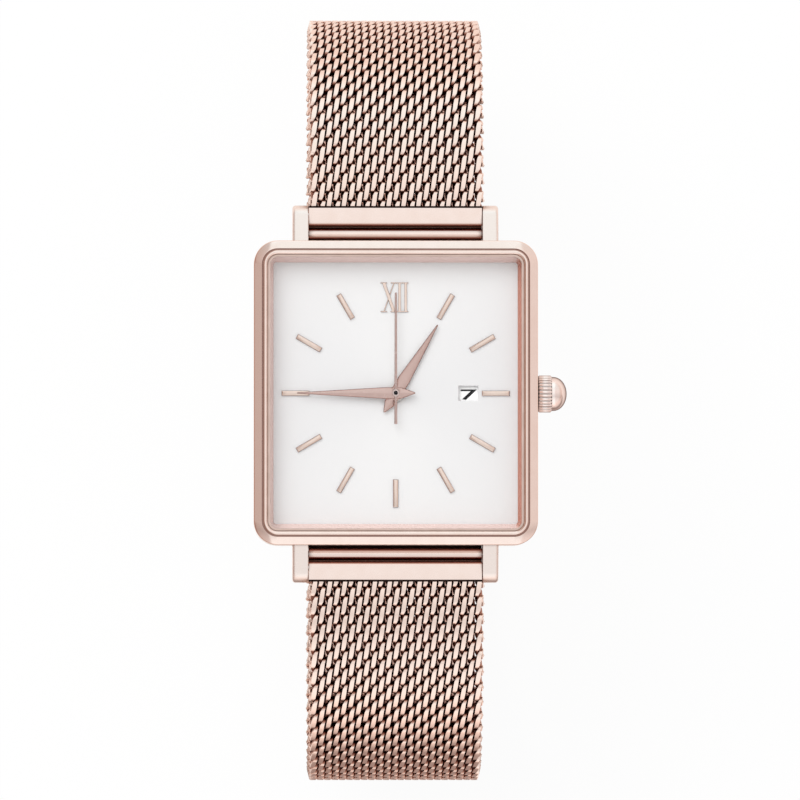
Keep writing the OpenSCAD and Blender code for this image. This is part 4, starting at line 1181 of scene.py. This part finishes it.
# Painted shadow: one strip where weave and clamp meet, one behind the tube on the case.
weave_y = BAR_Y + CLAMP_OUT
shadow_line = [(weave_y + y, BAR_Z + z) for y, z in (
    (SHADOW_IN, -SHADOW_UP), (SHADOW_OUT, -SHADOW_UP),
    (SHADOW_OUT, SHADOW_UP), (SHADOW_IN, SHADOW_UP))]
tube_shadow = [(HALF_L - 0.3, BAR_Z - 1.05), (BAR_Y - 0.1, BAR_Z - 1.05),
             (BAR_Y - 0.25, BAR_Z - 0.75), (HALF_L - 0.3, BAR_Z - 0.4)]
for half, half_turn in (("12", False), ("6", True)):
    end_link(f"end_link_{half}", f"end_piece_{half}", half_turn)
    dark_strip(f"shadow_line_{half}", body_of(f"end_piece_{half}"), shadow_line, half_turn)
    dark_strip(f"tube_shadow_{half}", "case", tube_shadow, half_turn)

# %% [markdown]
# ## The clasp and the back
#
# These are machined parts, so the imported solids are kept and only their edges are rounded.
# Slider, flap and hook are brushed along one way. The flap's back edge is lowered a little,
# because it turns past the slider when the flap opens.

# %% Clasp and case back
PIN_Y, FLAP_T, ROOM, CUT_ASIDE = -7.4, 0.45, 0.07, 0.15
dressed("hook_end", "hook_plate", rose_satin, width=0.05)
dressed("mesh_end_cap", "band_end_cap", rose_polished, width=0.08)
dressed("slider_frame", "clasp_slider", rose_satin, width=0.08)
bm = merged_solid("locking_flap")
cut_across(bm, (0, PIN_Y + CUT_ASIDE, 0), (0, 1, 0))
back_edge = [v for v in bm.verts if abs(v.co.z - FLAP_T) < 0.01 and v.co.y < PIN_Y + 0.1]
bmesh.ops.translate(bm, vec=(0, 0, -ROOM), verts=back_edge)
break_edges(bm, 0.05, sharper_than=60)
finished(bm, "clasp_flap", body_of("locking_flap"), rose_satin,
         replaces=["locking_flap"])
dressed("case_back", "back_cover", plain_steel, width=0.05)

# %% [markdown]
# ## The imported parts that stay
#
# Every other solid is right as it is. Each one gets the finish of its own material.

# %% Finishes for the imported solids
kept = {
    plain_steel: ["spring_bar_12", "spring_bar_6", "crown_tube", "winding_stem", "catch_bar",
                  "flap_pin", "stator", "quartz_can", "rotor", "battery_clamp"],
    plate_nickel: ["main_plate"],
    train_brass: ["train_bridge", "fifth_wheel", "second_wheel", "third_wheel", "centre_wheel",
                  "minute_wheel", "hour_wheel", "date_wheel"],
    movement_plastic: ["movement_holder"],
    board_green: ["circuit_board"],
    cell_steel: ["battery"],
    coil_copper: ["coil"],
    seal_rubber: ["back_gasket", "crown_gasket"],
    gasket_pale: ["crystal_gasket"],
    date_white: ["date_ring"],
}
for material, names in kept.items():
    for name in names:
        slots = frame["nodes"][name].data.materials
        slots.clear()
        slots.append(material)
print("packed solids with a finish:", sum(len(names) for names in kept.values()))

# %% [markdown]
# ## The floor
#
# The floor is white paper that takes a faint shadow. Under one lamp plain paper would look grey,
# so most of it glows by itself for the camera and in the metal. In the metal the paper in front
# of the watch is brown, as if the photographer's table ended there, and that draws the darker
# sides of the wire.

# %% Floor
FLOOR_HALF, FLOOR_BELOW = 6, 0.00002
DIM_FROM, DIM_TO, GLOW = -160, -30, 0.93
IN_METAL = [(0.0, (0.85, 0.70, 0.64)), (0.52, (0.34, 0.235, 0.205)),
            (0.88, (0.34, 0.235, 0.205)), (1.0, (1.0, 0.87, 0.81))]
bm = bmesh.new()
bmesh.ops.create_grid(bm, x_segments=1, y_segments=1, size=FLOOR_HALF)
bmesh.ops.translate(bm, vec=(0, 0, cad_bounds[0][2] - FLOOR_BELOW), verts=bm.verts)
floor_mesh = bpy.data.meshes.new("floor")
bm.to_mesh(floor_mesh)
bm.free()
floor = bpy.data.objects.new("floor", floor_mesh)
scene.collection.objects.link(floor)
paper, tree, shader = new_material("paper")
floor_mesh.materials.append(paper)
shader.inputs["Roughness"].default_value = 0.9
tree.links.new(two_colours(tree, grain(tree, (3, 3, 3)), (0.80, 0.80, 0.80), (0.82, 0.82, 0.82)),
               shader.inputs["Base Color"])
rays = tree.nodes.new("ShaderNodeLightPath")
white = tree.nodes.new("ShaderNodeEmission")
lengthwise = ranged(tree, part_of(tree, own(tree), "Y"), DIM_FROM * MM, DIM_TO * MM)
tree.links.new(two_colours(tree, rays.outputs["Is Glossy Ray"], (1, 1, 1),
                           ramp_of(tree, lengthwise, IN_METAL)), white.inputs["Color"])
seen = maths(tree, "MAXIMUM", rays.outputs["Is Camera Ray"], rays.outputs["Is Glossy Ray"])
seen_or_through = maths(tree, "MAXIMUM", seen, rays.outputs["Is Transmission Ray"])
tree.links.new(two_shaders(tree, maths(tree, "MULTIPLY", seen_or_through, GLOW),
                           shader.outputs["BSDF"], white.outputs["Emission"]),
               tree.nodes["Material Output"].inputs["Surface"])
print("floor at", round(cad_bounds[0][2] - FLOOR_BELOW, 5), "m")

# %% [markdown]
# ## The room that the metal mirrors
#
# A jeweller photographs metal inside a white tent with darker screens in it: the white makes the
# gold glow and the screens draw its edges. Here the sky is that tent. Three ramps are multiplied:
# from left to right a bright strip lies between two pink screens, upward the tent gets whiter,
# and from the 6 side to the 12 side it is dimmest just before the middle. Only the metal and the
# glass mirror it. Matt things are lit by an even white, which the camera sees too.

# %% World
STRIP, LEFT_SCREEN, RIGHT_SCREEN = (1.07, 1.07, 1.07), (0.73, 0.65, 0.63), (0.92, 0.83, 0.80)
LEFT_TO_RIGHT = [
    (0.06, (0.45, 0.30, 0.26)), (0.13, LEFT_SCREEN), (0.36, LEFT_SCREEN), (0.39, STRIP),
    (0.62, STRIP), (0.66, RIGHT_SCREEN), (0.90, RIGHT_SCREEN), (1.0, (0.8, 0.7, 0.66))]
UPWARD = [(0.0, (1.02, 0.86, 0.80)), (0.12, (0.98, 0.84, 0.78)), (0.30, (1.0, 0.95, 0.92)),
          (0.5, (1, 1, 1))]
SIX_TO_TWELVE = [
    (0.0, (1.1, 1.1, 1.1)), (0.2, (0.99, 0.99, 0.99)), (0.35, (0.75, 0.74, 0.74)),
    (0.5, (0.93, 0.93, 0.93)), (0.65, (1, 1, 1)), (0.82, (0.94, 1.0, 1.01)),
    (1.0, (1.04, 1.17, 1.22))]
world = bpy.data.worlds.new("tent")
scene.world = world
world.use_nodes = True
tree = world.node_tree
way = tree.nodes.new("ShaderNodeTexCoord").outputs["Generated"]
tent = ramp_of(tree, ranged(tree, part_of(tree, way, "X"), -1, 1), LEFT_TO_RIGHT)
for ramp in (ramp_of(tree, part_of(tree, way, "Z"), UPWARD),
             ramp_of(tree, ranged(tree, part_of(tree, way, "Y"), -1, 1), SIX_TO_TWELVE)):
    tent = two_colours(tree, 1.0, tent, ramp, "MULTIPLY")
in_metal = tree.nodes["Background"]
in_metal.inputs["Strength"].default_value = 1.0
tree.links.new(tent, in_metal.inputs["Color"])


def plain_sky(strength):
    """An even white sky."""
    sky = tree.nodes.new("ShaderNodeBackground")
    sky.inputs["Color"].default_value = (1, 1, 1, 1)
    sky.inputs["Strength"].default_value = strength
    return sky.outputs["Background"]


rays = tree.nodes.new("ShaderNodeLightPath")
mirrored = maths(tree, "MAXIMUM", rays.outputs["Is Glossy Ray"],
                 rays.outputs["Is Transmission Ray"])
light = two_shaders(tree, mirrored, plain_sky(0.80), in_metal.outputs["Background"])
light = two_shaders(tree, rays.outputs["Is Camera Ray"], light, plain_sky(1.0))
tree.links.new(light, tree.nodes["World Output"].inputs["Surface"])
print("world:", world.name, "with", len(tree.nodes), "nodes")

# %% [markdown]
# ## The lamp
#
# One large soft lamp from the upper left gives the dial its faint shadow below the bezel. Only
# matt surfaces feel it: in polished metal its square would show as a white patch, so it isn't
# mirrored.

# %% Lamp
KEY_PLACE, KEY_SIZE, KEY_WATTS = (-0.38, 0.58, 0.88), 0.8, 8.6


def soft_lamp(name, place, size, watts):
    """A square lamp that faces the watch."""
    data = bpy.data.lights.new(name, "AREA")
    data.shape = "SQUARE"
    data.size = size
    data.energy = watts
    lamp = bpy.data.objects.new(name, data)
    lamp.visible_glossy = False
    lamp.location = place
    lamp.rotation_euler = (Vector(place) - look_at).to_track_quat("Z", "Y").to_euler()
    scene.collection.objects.link(lamp)
    return lamp


key = soft_lamp("key", KEY_PLACE, KEY_SIZE, KEY_WATTS)
print("lamp:", key.name, "of", key.data.energy, "W")
